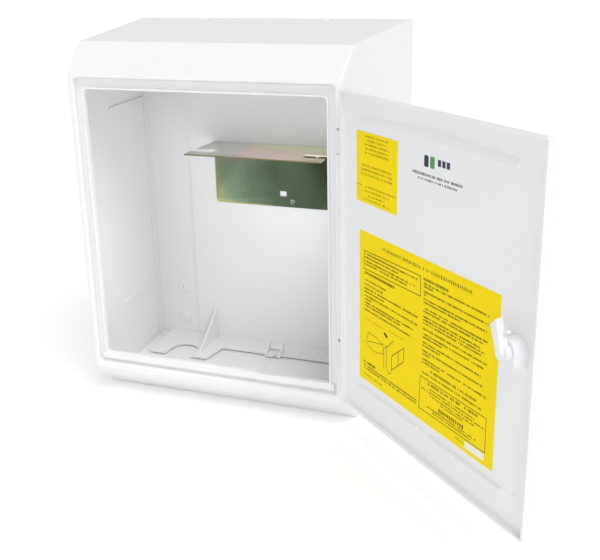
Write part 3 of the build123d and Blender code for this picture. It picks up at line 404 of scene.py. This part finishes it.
# %% The whole film
on_shelf = maths(tree, "GREATER_THAN", place_z, BRACKET_TOP - 3.8 * MM)
film = blend_colours(tree, on_shelf, plate_film, shelf_film)
join(tree, film, shader.inputs["Base Color"])
uneven_gloss(tree, streaks, 0.24, 0.20, shader)
raise_grain(tree, streaks, 0.25, 0.1 * MM, shader)
chalky = maths(tree, "SUBTRACT", 0.95, maths(tree, "MULTIPLY", on_shelf, 0.60))
join(tree, chalky, shader.inputs["Metallic"])
print("material made:", passivated.name)

# %% [markdown]
# ## Printed sheets
# The two sheets are yellow film with black print, and the door itself carries a few
# printed lines and plain fields of colour. The inks are flat and strong, with a faint
# unevenness. The print is made as thin raised bars, so that it is a shape and stays
# sharp when the model is exported.


# %% Ink materials
def flat_ink(name, light, dark, roughness):
    """Printed colour with a faint unevenness."""
    material, tree, shader, coordinates = new_material(name)
    cloud = noise(tree, coordinates, 60.0, 4.0)
    mottle(tree, cloud, dark, light, shader)
    uneven_gloss(tree, cloud, 0.08, roughness, shader)
    shader.inputs["Specular IOR Level"].default_value = 0.12
    return material


yellow_ink = flat_ink("yellow sheet", (0.960, 0.750, 0.004), (0.930, 0.715, 0.002), 0.62)
black_ink = flat_ink("black print", (0.080, 0.062, 0.012), (0.055, 0.042, 0.010), 0.60)
white_ink = flat_ink("white field", (0.900, 0.890, 0.840), (0.870, 0.860, 0.800), 0.55)
blue_ink = flat_ink("dark blue print", (0.060, 0.055, 0.115), (0.050, 0.045, 0.095), 0.55)
green_ink = flat_ink("green print", (0.130, 0.330, 0.120), (0.115, 0.300, 0.105), 0.55)
print("ink materials made")


# %% Finishes of the frame's own nodes
def finish_node(name, material):
    """Give a CAD node its material without touching its mesh."""
    node = nodes[name]
    for material_slot in node.material_slots:
        material_slot.material = material
    if not node.material_slots:
        node.data.materials.append(material)


FINISHES = {
    "front_shell": carcass_white,
    "back_tray": carcass_white,
    "door": door_white,
    "upper_hinge_clip": fitting_white,
    "lower_hinge_clip": fitting_white,
    "upper_hinge_pin": zinc,
    "lower_hinge_pin": zinc,
    "latch_housing": fitting_white,
    "latch_escutcheon": fitting_white,
    "latch_spindle": fitting_white,
    "latch_cam": fitting_white,
}
for node_name, material in FINISHES.items():
    finish_node(node_name, material)
print(len(FINISHES), "frame nodes finished")

# %% [markdown]
# ## Geometry Nodes as a workshop
# A tree that makes a shape is put on an object as a modifier, given its sizes, and
# turned into a plain mesh. The inputs are set by each socket's identifier, because
# names can repeat. The finished mesh sits at the origin, as a frame node's does.


# %% Geometry tree helpers
def shape_tree(name, inputs):
    """A Geometry Nodes group that takes and gives geometry."""
    sockets = [("Geometry", "NodeSocketGeometry", None)] + inputs
    return new_group(name, "GeometryNodeTree", sockets, [("Geometry", "NodeSocketGeometry")])


def combine(tree, **parts):
    """A vector of the given X, Y and Z, with 0 for what isn't given."""
    node = add_node(tree, "ShaderNodeCombineXYZ")
    for axis, value in parts.items():
        feed(tree, value, node.inputs[axis])
    return node.outputs[0]


def moved(tree, geometry, **changes):
    """Geometry with a Translation, Rotation or Scale."""
    node = add_node(tree, "GeometryNodeTransform")
    join(tree, geometry, node.inputs["Geometry"])
    for label, value in changes.items():
        feed(tree, value, node.inputs[label])
    return node.outputs[0]


def close_tree(tree, geometry, group_in, group_out):
    """End a tree: make copies real, set the material and put the geometry out."""
    realize = add_node(tree, "GeometryNodeRealizeInstances")
    join(tree, geometry, realize.inputs[0])
    coat = add_node(tree, "GeometryNodeSetMaterial")
    join(tree, realize.outputs[0], coat.inputs["Geometry"])
    join(tree, group_in.outputs["Material"], coat.inputs["Material"])
    join(tree, coat.outputs[0], group_out.inputs["Geometry"])
    print("tree made:", tree.name)


# %% Piece helpers
def run_tree(name, source, tree, values, material):
    """The plain mesh object that a tree makes from a source mesh with these values."""
    worker = add_object(name + "_worker", source)
    modifier = worker.modifiers.new("shape", "NODES")
    modifier.node_group = tree
    for item in tree.interface.items_tree:
        if item.in_out == "INPUT" and item.name in values:
            modifier[item.identifier] = values[item.name]
    bpy.context.view_layer.update()
    evaluated = worker.evaluated_get(bpy.context.evaluated_depsgraph_get())
    mesh = bpy.data.meshes.new_from_object(evaluated)
    mesh.name = name
    bpy.data.objects.remove(worker)
    piece = add_object(name, mesh)
    if not mesh.materials:
        mesh.materials.append(material)
    print(name, "has", len(mesh.polygons), "faces")
    return piece


def point_cloud(name, places):
    """A mesh of loose points to put copies on."""
    mesh = bpy.data.meshes.new(name)
    mesh.from_pydata(places, [], [])
    return mesh


def place_mesh(piece, matrix):
    """Move a piece's mesh, not its object."""
    piece.data.transform(matrix)
    piece.data.update()


# %% [markdown]
# ## The meter bracket
# The bracket is one strip of 2 mm steel, bent once, so its section is the same over
# its whole width: a rule that a tree can follow. An L of three points is rounded at
# the bend and swept with a flat rectangle as wide as the bracket. Blocks then punch
# the two open slots, the two small bend holes and the square hole, and round off the
# plate's lower corners.

# %% Bracket tree: an L of three points
bracket_tree, bracket_in, bracket_out = shape_tree(
    "Bent bracket",
    [
        ("Width", "NodeSocketFloat", 0.222),
        ("Sheet", "NodeSocketFloat", 0.002),
        ("Reach", "NodeSocketFloat", 0.108),
        ("Drop", "NodeSocketFloat", 0.1008),
        ("Bend radius", "NodeSocketFloat", 0.003),
        ("Material", "NodeSocketMaterial", None),
    ],
)
drop = maths(bracket_tree, "MULTIPLY", bracket_in.outputs["Drop"], -1.0)
reach = maths(bracket_tree, "MULTIPLY", bracket_in.outputs["Reach"], -1.0)
slant = add_node(bracket_tree, "GeometryNodeCurvePrimitiveLine")
join(bracket_tree, combine(bracket_tree, Y=drop), slant.inputs["Start"])
join(bracket_tree, combine(bracket_tree, X=reach), slant.inputs["End"])
three_points = add_node(bracket_tree, "GeometryNodeResampleCurve")
three_points.inputs["Count"].default_value = 3
join(bracket_tree, slant.outputs[0], three_points.inputs["Curve"])
index = add_node(bracket_tree, "GeometryNodeInputIndex")
is_corner = add_node(bracket_tree, "FunctionNodeCompare", data_type="INT", operation="EQUAL")
join(bracket_tree, index.outputs[0], is_corner.inputs[2])
is_corner.inputs[3].default_value = 1
to_corner = add_node(bracket_tree, "GeometryNodeSetPosition")
join(bracket_tree, three_points.outputs[0], to_corner.inputs["Geometry"])
join(bracket_tree, is_corner.outputs[0], to_corner.inputs["Selection"])
join(bracket_tree, combine(bracket_tree), to_corner.inputs["Position"])

# %% Bend, sweep and punch
bend = add_node(bracket_tree, "GeometryNodeFilletCurve", mode="POLY")
bend.inputs["Count"].default_value = 8
join(bracket_tree, to_corner.outputs[0], bend.inputs["Curve"])
join(bracket_tree, bracket_in.outputs["Bend radius"], bend.inputs["Radius"])
section = add_node(bracket_tree, "GeometryNodeCurvePrimitiveQuadrilateral")
join(bracket_tree, bracket_in.outputs["Sheet"], section.inputs["Width"])
join(bracket_tree, bracket_in.outputs["Width"], section.inputs["Height"])
sweep = add_node(bracket_tree, "GeometryNodeCurveToMesh")
sweep.inputs["Fill Caps"].default_value = True
join(bracket_tree, bend.outputs[0], sweep.inputs["Curve"])
join(bracket_tree, section.outputs[0], sweep.inputs["Profile Curve"])
UPRIGHT = (math.radians(90), 0.0, math.radians(90))
punch = add_node(bracket_tree, "GeometryNodeMeshBoolean", operation="DIFFERENCE")
join(bracket_tree, moved(bracket_tree, sweep.outputs[0], Rotation=UPRIGHT), punch.inputs["Mesh 1"])
join(bracket_tree, bracket_in.outputs["Geometry"], punch.inputs["Mesh 2"])
close_tree(bracket_tree, punch.outputs[0], bracket_in, bracket_out)


# %% Punch helpers
def rounded_outline(x0, x1, y0, y1, radius, steps=6):
    """Points of a rectangle with rounded corners, turning left."""
    corners = [(x1, y1, 0), (x0, y1, 1), (x0, y0, 2), (x1, y0, 3)]
    points = []
    for x, y, quarter in corners:
        cx = x - radius if x == x1 else x + radius
        cy = y - radius if y == y1 else y + radius
        for step in range(steps + 1):
            angle = (quarter + step / steps) * math.pi / 2
            points.append((cx + radius * math.cos(angle), cy + radius * math.sin(angle)))
    return points


def corner_waste(x, z, side, radius, steps=8, over=0.001):
    """Outline of what is cut off to round a lower corner; side points into the plate."""
    centre_x, centre_z = x + side * radius, z + radius
    arc = [math.pi / 2 * step / steps for step in range(steps + 1)]
    points = [(centre_x - side * radius * math.cos(a), centre_z - radius * math.sin(a)) for a in arc]
    points = [(x - side * over, centre_z)] + points + [(centre_x, z - over), (x - side * over, z - over)]
    return points if side > 0 else list(reversed(points))


def prism(mesh, outline, low, high, matrix):
    """Add a closed prism of an outline in X and Y to a bmesh, then move it."""
    bottom = [mesh.verts.new(matrix @ Vector((x, y, low))) for x, y in outline]
    top = [mesh.verts.new(matrix @ Vector((x, y, high))) for x, y in outline]
    count = len(outline)
    mesh.faces.new(list(reversed(bottom)))
    mesh.faces.new(top)
    for i in range(count):
        j = (i + 1) % count
        mesh.faces.new((bottom[i], bottom[j], top[j], top[i]))


def finished_bmesh(work, name):
    """Turn a bmesh into a mesh with its faces pointing out."""
    bmesh.ops.recalc_face_normals(work, faces=work.faces)
    mesh = bpy.data.meshes.new(name)
    work.to_mesh(mesh)
    work.free()
    return mesh


# %% Bracket
PLATE_CORNER = 6.0 * MM
PANEL_FACE = 124.0 * MM
BEND_RADIUS = 3.0 * MM
SLOT_DEPTHS = (39.0 * MM, 60.0 * MM)
SLOT_LENGTH = 38.0 * MM
SLOT_RADIUS = 3.0 * MM
SLOT_OVERRUN = 5.0 * MM
BEND_HOLE_INSET = 40.0 * MM
BEND_HOLE_SETBACK = 6.0 * MM
BEND_HOLE_HALVES = (4.5 * MM, 2.0 * MM)
SQUARE_HOLE = (11.3 * MM, 23.3 * MM, 270.5 * MM, 279.5 * MM)
SIDES = ((BRACKET_LEFT, 1), (BRACKET_RIGHT, -1))
bend_line = Vector(((BRACKET_LEFT + BRACKET_RIGHT) / 2, PANEL_FACE - SHEET / 2, BRACKET_TOP - SHEET / 2))
from_front = Matrix.Rotation(math.radians(90), 4, "X")
down = Matrix.Translation(-bend_line)
through = down @ from_front
shelf_depth = (BRACKET_TOP - 2 * SHEET, BRACKET_TOP + SHEET)
plate_depth = (-PANEL_FACE - SHEET, -PANEL_FACE + 2 * SHEET)
punches = bmesh.new()
for edge, side in SIDES:
    x0, x1 = sorted((edge + side * SLOT_LENGTH, edge - side * SLOT_OVERRUN))
    prism(punches, rounded_outline(x0, x1, *SLOT_DEPTHS, SLOT_RADIUS), *shelf_depth, down)
for edge, side in SIDES:
    x, y = edge + side * BEND_HOLE_INSET, PANEL_FACE - SHEET - BEND_HOLE_SETBACK
    half_x, half_y = BEND_HOLE_HALVES
    outline = rounded_outline(x - half_x, x + half_x, y - half_y, y + half_y, 0.5 * MM)
    prism(punches, outline, *shelf_depth, down)
for edge, side in SIDES:
    prism(punches, corner_waste(edge, BRACKET_FOOT, side, PLATE_CORNER), *plate_depth, through)
prism(punches, rounded_outline(*SQUARE_HOLE, 0.4 * MM), *plate_depth, through)
bracket = run_tree(
    "bent_meter_bracket",
    finished_bmesh(punches, "punches"),
    bracket_tree,
    {
        "Width": BRACKET_WIDTH,
        "Sheet": SHEET,
        "Reach": bend_line.y - SHELF_FRONT,
        "Drop": bend_line.z - BRACKET_FOOT,
        "Bend radius": BEND_RADIUS,
        "Material": passivated,
    },
    passivated,
)
place_mesh(bracket, Matrix.Translation(bend_line))
print("bracket box in mm:", in_mm((bracket.bound_box[0], bracket.bound_box[6])))
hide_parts("meter_bracket")
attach(bracket, "carcass")

# %% [markdown]
# ## Screws
# The screws that hold the bracket are small pan heads with a cross recess. One tree
# makes a head where a flat dome and a disc overlap, cuts the cross out of it, and puts
# a copy on every point that it is given. The same tree, with a smaller and flatter head,
# makes the hinge clip screws.

# %% Screw tree
screw_tree, screw_in, screw_out = shape_tree(
    "Cross head screws",
    [
        ("Head radius", "NodeSocketFloat", 0.0039),
        ("Head height", "NodeSocketFloat", 0.0022),
        ("Cross length", "NodeSocketFloat", 0.004),
        ("Cross width", "NodeSocketFloat", 0.001),
        ("Shank radius", "NodeSocketFloat", 0.002),
        ("Shank length", "NodeSocketFloat", 0.006),
        ("Material", "NodeSocketMaterial", None),
    ],
)
ROUND_STEPS = 32
head_radius, head_height = screw_in.outputs["Head radius"], screw_in.outputs["Head height"]
disc = add_node(screw_tree, "GeometryNodeMeshCylinder", fill_type="NGON")
disc.inputs["Vertices"].default_value = ROUND_STEPS
join(screw_tree, head_radius, disc.inputs["Radius"])
join(screw_tree, head_height, disc.inputs["Depth"])
dome = add_node(screw_tree, "GeometryNodeMeshUVSphere")
dome.inputs["Segments"].default_value = ROUND_STEPS
dome.inputs["Rings"].default_value = 24
join(screw_tree, head_radius, dome.inputs["Radius"])
squat = combine(screw_tree, X=1.0, Y=1.0, Z=maths(screw_tree, "DIVIDE", head_height, head_radius))
half_up = combine(screw_tree, Z=maths(screw_tree, "MULTIPLY", head_height, 0.5))
head = add_node(screw_tree, "GeometryNodeMeshBoolean", operation="INTERSECT")
join(screw_tree, moved(screw_tree, dome.outputs[0], Scale=squat), head.inputs["Mesh 2"])
join(screw_tree, moved(screw_tree, disc.outputs[0], Translation=half_up), head.inputs["Mesh 2"])

# %% The cross in the head
full_up = combine(screw_tree, Z=head_height)
cut_head = add_node(screw_tree, "GeometryNodeMeshBoolean", operation="DIFFERENCE")
join(screw_tree, head.outputs[0], cut_head.inputs["Mesh 1"])
cross = (screw_in.outputs["Cross length"], screw_in.outputs["Cross width"])
for first, second in (cross, cross[::-1]):
    bar = add_node(screw_tree, "GeometryNodeMeshCube")
    join(screw_tree, combine(screw_tree, X=first, Y=second, Z=head_height), bar.inputs["Size"])
    join(screw_tree, moved(screw_tree, bar.outputs[0], Translation=full_up), cut_head.inputs["Mesh 2"])

# %% Shank and copies
shank = add_node(screw_tree, "GeometryNodeMeshCylinder", fill_type="NGON")
shank.inputs["Vertices"].default_value = 20
join(screw_tree, screw_in.outputs["Shank radius"], shank.inputs["Radius"])
join(screw_tree, screw_in.outputs["Shank length"], shank.inputs["Depth"])
half_down = combine(screw_tree, Z=maths(screw_tree, "MULTIPLY", screw_in.outputs["Shank length"], -0.5))
one_screw = add_node(screw_tree, "GeometryNodeJoinGeometry")
join(screw_tree, cut_head.outputs[0], one_screw.inputs[0])
join(screw_tree, moved(screw_tree, shank.outputs[0], Translation=half_down), one_screw.inputs[0])
copies = add_node(screw_tree, "GeometryNodeInstanceOnPoints")
join(screw_tree, screw_in.outputs["Geometry"], copies.inputs["Points"])
join(screw_tree, one_screw.outputs[0], copies.inputs["Instance"])
copies.inputs["Rotation"].default_value = (math.radians(90), 0.0, 0.0)
close_tree(screw_tree, copies.outputs[0], screw_in, screw_out)

# %% Bracket screws
SCREW_PLACES = ((33.4 * MM, 263.0 * MM), (-60.0 * MM, 341.0 * MM), (77.0 * MM, 341.0 * MM))
bracket_screws = run_tree(
    "pan_head_screws",
    point_cloud("bracket screw places", [(x, PANEL_FACE - SHEET, z) for x, z in SCREW_PLACES]),
    screw_tree,
    {"Head radius": 3.9 * MM, "Head height": 2.2 * MM, "Shank length": 6.9 * MM, "Material": zinc},
    zinc,
)
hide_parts("bracket_screws")
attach(bracket_screws, "carcass")

# %% Hinge clip screws
CLIP_HEAD_HEIGHT = 0.6 * MM
CLIP_SCREW_SPREAD = 12.5 * MM
low_corner, high_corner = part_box("hinge_clip_screws")
hinge_heights = [(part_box(n)[0].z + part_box(n)[1].z) / 2 for n in ("lower_hinge_clip", "upper_hinge_clip")]
clip_places = [
    ((low_corner.x + high_corner.x) / 2, low_corner.y + CLIP_HEAD_HEIGHT, z + side * CLIP_SCREW_SPREAD)
    for z in hinge_heights
    for side in (-1, 1)
]
clip_screws = run_tree(
    "clip_screws",
    point_cloud("clip screw places", clip_places),
    screw_tree,
    {
        "Head radius": 1.9 * MM,
        "Head height": CLIP_HEAD_HEIGHT,
        "Cross length": 2.4 * MM,
        "Cross width": 0.6 * MM,
        "Shank radius": 1.2 * MM,
        "Shank length": 5.2 * MM,
        "Material": zinc,
    },
    zinc,
)
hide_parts("hinge_clip_screws")
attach(clip_screws, "carcass")

# %% [markdown]
# ## The printed sheets
# Each sheet is a thin film stuck to the inside of the door. The text that such a sheet
# carries isn't drawn: rows of small bars stand for lines of words. One tree does it.
# It takes one edge for each line of print, with the letter height and the weight of
# the type as attributes. It sets a bar at every letter's place along the line, leaves
# some out for the spaces between words, and varies their size from a fixed seed.

# %% Print tree
PRINT_HEIGHT = 0.06 * MM
print_tree, print_in, print_out = shape_tree(
    "Lines of print",
    [
        ("Letter pitch", "NodeSocketFloat", 0.64),
        ("Space share", "NodeSocketFloat", 0.13),
        ("Seed", "NodeSocketInt", 3),
        ("Material", "NodeSocketMaterial", None),
    ],
)


def stored(tree, name):
    """A named attribute of the points."""
    node = add_node(tree, "GeometryNodeInputNamedAttribute", data_type="FLOAT")
    node.inputs["Name"].default_value = name
    return node.outputs[0]


def chance(tree, low, high, seed):
    """A random number for each point."""
    node = add_node(tree, "FunctionNodeRandomValue", data_type="FLOAT")
    node.inputs[2].default_value = low
    node.inputs[3].default_value = high
    join(tree, seed, node.inputs["Seed"])
    return node.outputs[1]


seed_socket = print_in.outputs["Seed"]
letter_height = stored(print_tree, "height")
pitch = maths(print_tree, "MULTIPLY", letter_height, print_in.outputs["Letter pitch"])
row_line = add_node(print_tree, "GeometryNodeMeshToCurve")
join(print_tree, print_in.outputs["Geometry"], row_line.inputs["Mesh"])
letters = add_node(print_tree, "GeometryNodeResampleCurve", mode="LENGTH")
join(print_tree, row_line.outputs[0], letters.inputs["Curve"])
join(print_tree, pitch, letters.inputs["Length"])
bar = add_node(print_tree, "GeometryNodeMeshCube")
bar.inputs["Size"].default_value = (1.0, 1.0, 1.0)
weight_share = maths(print_tree, "MULTIPLY", pitch, stored(print_tree, "weight"))
wide = maths(print_tree, "MULTIPLY", weight_share, chance(print_tree, 0.6, 1.0, seed_socket))
tall_seed = maths(print_tree, "ADD", seed_socket, 7.0)
tall = maths(print_tree, "MULTIPLY", letter_height, chance(print_tree, 0.62, 1.0, tall_seed))
space_seed = maths(print_tree, "ADD", seed_socket, 19.0)
any_share = chance(print_tree, 0.0, 1.0, space_seed)
kept = maths(print_tree, "GREATER_THAN", any_share, print_in.outputs["Space share"])
on_letters = add_node(print_tree, "GeometryNodeInstanceOnPoints")
join(print_tree, letters.outputs[0], on_letters.inputs["Points"])
join(print_tree, kept, on_letters.inputs["Selection"])
join(print_tree, bar.outputs[0], on_letters.inputs["Instance"])
bar_size = combine(print_tree, X=wide, Y=PRINT_HEIGHT, Z=tall)
join(print_tree, bar_size, on_letters.inputs["Scale"])
close_tree(print_tree, on_letters.outputs[0], print_in, print_out)

# %% Films
DOOR_INSIDE = -132.5 * MM
SHEET_THICKNESS = 0.2 * MM
SHEET_FACE = DOOR_INSIDE + SHEET_THICKNESS
SMALL_SHEET = (65.0, 158.0, 350.0, 438.0)
LARGE_SHEET = (-131.0, 150.0, 110.0, 313.0)


def flat_piece(name, outlines, back, front, material):
    """Flat shapes between two depths on the closed door, turned with the door."""
    work = bmesh.new()
    for outline in outlines:
        prism(work, [(x * MM, z * MM) for x, z in outline], -front, -back, from_front)
    mesh = finished_bmesh(work, name)
    mesh.materials.append(material)
    piece = add_object(name, mesh)
    place_mesh(piece, open_door)
    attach(piece, "door")
    return piece


for name, cad_name, size, radius in (
    ("small_sheet", "small_label", SMALL_SHEET, 1.5),
    ("large_sheet", "large_label", LARGE_SHEET, 2.0),
):
    film_outline = rounded_outline(*size, radius)
    yellow_film = flat_piece(name, [film_outline], DOOR_INSIDE, SHEET_FACE, yellow_ink)
    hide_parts(cad_name)
print("films made")

# %% [markdown]
# ## What is printed
# A row is written as (x of its first letter, x of its last, height of the line, letter
# height, weight), all in millimetres on the closed door, where a line of print runs
# towards smaller x. A block of rows that start at the same place shares that place.


# %% Rows of print
def block_rows(start, ends, height, weight):
    """Rows that start at one x, given as (x of the last letter, height of the line)."""
    return [(start, end, z, height, weight) for end, z in ends]


def centred_rows(middle, widths, height, weight):
    """Rows centred on one x, given as (width, height of the line)."""
    return [(middle + width / 2, middle - width / 2, z, height, weight) for width, z in widths]


SMALL_TYPE = (2.8, 0.50)
BODY_TYPE = (2.5, 0.88)
FOOT_TYPE = (2.2, 0.76)
small_rows = centred_rows(
    111.5,
    [(51, 433), (42, 428), (54, 423), (50, 418), (52, 413)]
    + [(69, 397), (69, 391.5), (69, 386)]
    + [(88, 371), (57, 365.5), (35, 360), (56, 355)],
    *SMALL_TYPE,
)
left_rows = block_rows(135.5, [(20, 284.5), (62, 280), (25, 275), (42, 271)], *BODY_TYPE)
left_rows += block_rows(
    137,
    [(88, 250), (95, 244), (18, 238.5), (92, 234), (18, 228.5), (122, 224), (25, 219.5), (55, 215.5)]
    + [(33, 209.5), (16, 131.5), (17, 127.5)],
    *BODY_TYPE,
)
right_rows = block_rows(
    5,
    [(-113, 284), (-11, 280.5), (-112, 274.5), (0, 271), (-110, 265.5), (-66, 261.5), (-112, 254.5)]
    + [(-105, 250.5), (-100, 244), (-108, 240), (-102, 236), (-112, 229), (-107, 222.5), (-35, 218.5)]
    + [(-103, 212), (-28, 208), (-107, 201.5), (-10, 197.5), (-114, 191), (-28, 187), (-107, 174)],
    *BODY_TYPE,
)
right_rows += centred_rows(
    -54, [(88, 157.5), (117, 153.5), (83, 149.5), (40, 146), (93, 133.5), (74, 130)], *FOOT_TYPE
)
headings = [
    (95, -82, 301, 5.0, 0.50),
    (136, 69, 259.5, 4.0, 0.84),
    (6, -40, 289.5, 4.0, 0.84),
    (138, 112, 136.5, 4.0, 0.84),
    (137, 95, 119, 3.0, 0.44),
    (138, 88, 197.5, 1.6, 0.40),
    (80, 46, 199.5, 1.6, 0.40),
    (-12, -100, 180.5, 3.6, 0.74),
    (-9, -101, 163.5, 4.2, 0.74),
    (-31, -76, 138.5, 6.0, 0.72),
    (-63, -79, 119.5, 2.6, 0.40),
]
door_rows = [(33, -60, 410, 3.6, 0.78), (23, -49, 404.5, 3.0, 0.74)]


def lines_mesh(name, rows, face):
    """One edge for each row, on a face of the closed door."""
    mesh = bpy.data.meshes.new(name)
    places, edges, heights, weights = [], [], [], []
    for x0, x1, z, height, weight in rows:
        start = len(places)
        places += [(x0 * MM, face, z * MM), (x1 * MM, face, z * MM)]
        edges.append((start, start + 1))
        heights += [height * MM, height * MM]
        weights += [weight, weight]
    mesh.from_pydata(places, edges, [])
    for key, values in (("height", heights), ("weight", weights)):
        mesh.attributes.new(key, "FLOAT", "POINT").data.foreach_set("value", values)
    return mesh


def print_piece(name, rows, face, seed, material):
    """Rows of print as one piece that lies on the door's inside."""
    rows_mesh = lines_mesh(name + " rows", rows, face)
    piece = run_tree(name, rows_mesh, print_tree, {"Seed": seed, "Material": material}, material)
    place_mesh(piece, open_door)
    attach(piece, "door")
    return piece


print_piece("small_sheet_print", small_rows, SHEET_FACE, 5, black_ink)
large_rows = left_rows + right_rows + headings
print_piece("large_sheet_print", large_rows, SHEET_FACE, 9, black_ink)
print_piece("door_print", door_rows, DOOR_INSIDE, 4, black_ink)


# %% Boxes, drawing and fields of colour
def stroke(start, end, width):
    """Corners of a thin bar drawn from one place to another."""
    along = (Vector(end) - Vector(start)).normalized() * width / 2
    side = Vector((-along.y, along.x))
    tail, tip = Vector(start) - along, Vector(end) + along
    return [tuple(tail + side), tuple(tail - side), tuple(tip - side), tuple(tip + side)]


def path_strokes(places, width, closed=False):
    """Thin bars along a chain of places."""
    ends = places[1:] + places[:1] if closed else places[1:]
    return [stroke(a, b, width) for a, b in zip(places, ends)]


LINE_WORK = (
    path_strokes([(139, 264), (12.5, 266.5), (13.5, 291), (139, 288)], 1.0, True)
    + path_strokes([(10.5, 125), (-117, 126), (-117, 167.5), (8.5, 167.5)], 0.9, True)
    + path_strokes([(72, 149), (72, 168), (45, 189), (45, 171), (57, 161), (57, 180)], 1.0)
    + path_strokes([(72, 149), (57, 161)], 1.0)
    + path_strokes([(68, 190), (84, 175), (84, 150)], 0.9)
    + path_strokes([(90, 146), (90, 172), (84, 177)], 0.9)
    + path_strokes([(88, 192), (84, 190)], 4.0)
    + path_strokes([(131, 170), (128, 180), (108, 180), (92, 176), (131, 167)], 0.8)
    + path_strokes([(137, 166), (115, 158), (92, 163), (92, 176)], 0.6)
    + path_strokes([(84, 150), (78, 141), (72, 146)], 0.6)
)
ink_top = SHEET_FACE + PRINT_HEIGHT / 2
flat_piece("sheet_line_work", LINE_WORK, SHEET_FACE, ink_top, black_ink)
field = rounded_outline(-115.5, -81.5, 115, 123.5, 0.5)
flat_piece("sheet_white_field", [field], SHEET_FACE, ink_top, white_ink)
fields = {
    "door_blue_field": (blue_ink, [rounded_outline(3.5, 12, 419, 432, 2.0)]),
    "door_green_field": (green_ink, [rounded_outline(-8, 0.5, 419, 432, 2.0)]),
    "door_grey_fields": (blue_ink, [rounded_outline(x, x + 6, 423.5, 431, 0.8) for x in (-20, -28, -36)]),
}
for name, (ink, outlines) in fields.items():
    flat_piece(name, outlines, DOOR_INSIDE, DOOR_INSIDE + PRINT_HEIGHT / 2, ink)

# %% [markdown]
# ## Floor, light and background
# The box stands on a plain pale floor that runs out of the picture. A large soft sun
# from the upper right gives the shadow at the left, a weak low one from the front
# lights the frame, and a bright, even world fills the rest. The white walls inside
# need a small lamp of their own, just behind the door frame and out of the camera's
# sight. For camera rays the floor is lifted a little towards white.


# %% Floor
def mix_shaders(tree, share, first, second, output_name):
    """Mix two shaders by a share and send the result to the tree's output."""
    mix = add_node(tree, "ShaderNodeMixShader")
    for source, target in zip((share, first, second), mix.inputs):
        join(tree, source, target)
    join(tree, mix.outputs[0], tree.nodes[output_name].inputs["Surface"])


HALF_FLOOR = 30.0
WHITE_SHARE = 0.20
floor_corners = [(x * HALF_FLOOR, y * HALF_FLOOR, 0) for x, y in ((-1, -1), (1, -1), (1, 1), (-1, 1))]
floor_mesh = bpy.data.meshes.new("floor")
floor_mesh.from_pydata(floor_corners, [], [(0, 1, 2, 3)])
floor = add_object("floor", floor_mesh)
floor.location.z = -0.2 * MM
floor_material, tree, shader, coordinates = new_material("pale floor")
shader.inputs["Base Color"].default_value = (0.99, 0.99, 0.99, 1.0)
shader.inputs["Roughness"].default_value = 0.8
shader.inputs["Specular IOR Level"].default_value = 0.0
shader.inputs["Emission Color"].default_value = (1.0, 1.0, 1.0, 1.0)
shader.inputs["Emission Strength"].default_value = 0.10
paper = add_node(tree, "ShaderNodeEmission")
paper.inputs["Strength"].default_value = 1.06
looked_at = add_node(tree, "ShaderNodeLightPath")
share = maths(tree, "MULTIPLY", looked_at.outputs["Is Camera Ray"], WHITE_SHARE)
mix_shaders(tree, share, shader.outputs[0], paper.outputs[0], "Material Output")
floor_mesh.materials.append(floor_material)

# %% World and lamps
world = bpy.data.worlds.new("studio")
bpy.context.scene.world = world
world.use_nodes = True
tree = world.node_tree
sky = tree.nodes["Background"]
sky.inputs["Color"].default_value = (0.985, 0.992, 1.0, 1.0)
sky.inputs["Strength"].default_value = 0.62
white = add_node(tree, "ShaderNodeBackground")
white.inputs["Color"].default_value = (1.0, 1.0, 1.0, 1.0)
white.inputs["Strength"].default_value = 1.0
path = add_node(tree, "ShaderNodeLightPath")
seen_white = maths(tree, "MAXIMUM", path.outputs["Is Camera Ray"], path.outputs["Is Transmission Ray"])
mix_shaders(tree, seen_white, sky.outputs[0], white.outputs[0], "World Output")


def aimed_lamp(name, lamp, back):
    """Put a lamp in the scene that shines away from the direction back."""
    lamp_object = add_object(name, lamp)
    lamp_object.rotation_mode = "QUATERNION"
    lamp_object.rotation_quaternion = back.to_track_quat("Z", "Y")
    return lamp_object


def sun(name, azimuth, elevation, strength, angle):
    """A soft sun that comes from an azimuth (0 is the front) and an elevation."""
    lamp = bpy.data.lights.new(name, "SUN")
    lamp.energy = strength
    lamp.angle = math.radians(angle)
    a, e = math.radians(azimuth), math.radians(elevation)
    aimed_lamp(name, lamp, Vector((math.sin(a) * math.cos(e), -math.cos(a) * math.cos(e), math.sin(e))))


sun("key", 46.0, 56.0, 1.32, 34.0)
sun("front", 10.0, 5.0, 0.46, 50.0)

# %% Light inside the box
INSIDE_LAMP_SIZE = 0.22
inside_lamp = bpy.data.lights.new("inside", "AREA")
inside_lamp.shape = "RECTANGLE"
inside_lamp.size = INSIDE_LAMP_SIZE
inside_lamp.size_y = INSIDE_LAMP_SIZE
inside_lamp.energy = 0.29
inside = aimed_lamp("inside", inside_lamp, Vector((0.93, -0.36, -0.04)))
inside.location = (0.10, -0.095, 0.27)
inside.visible_camera = False
inside.visible_glossy = False
bpy.context.scene.view_settings.view_transform = "Standard"
print("lamps placed")
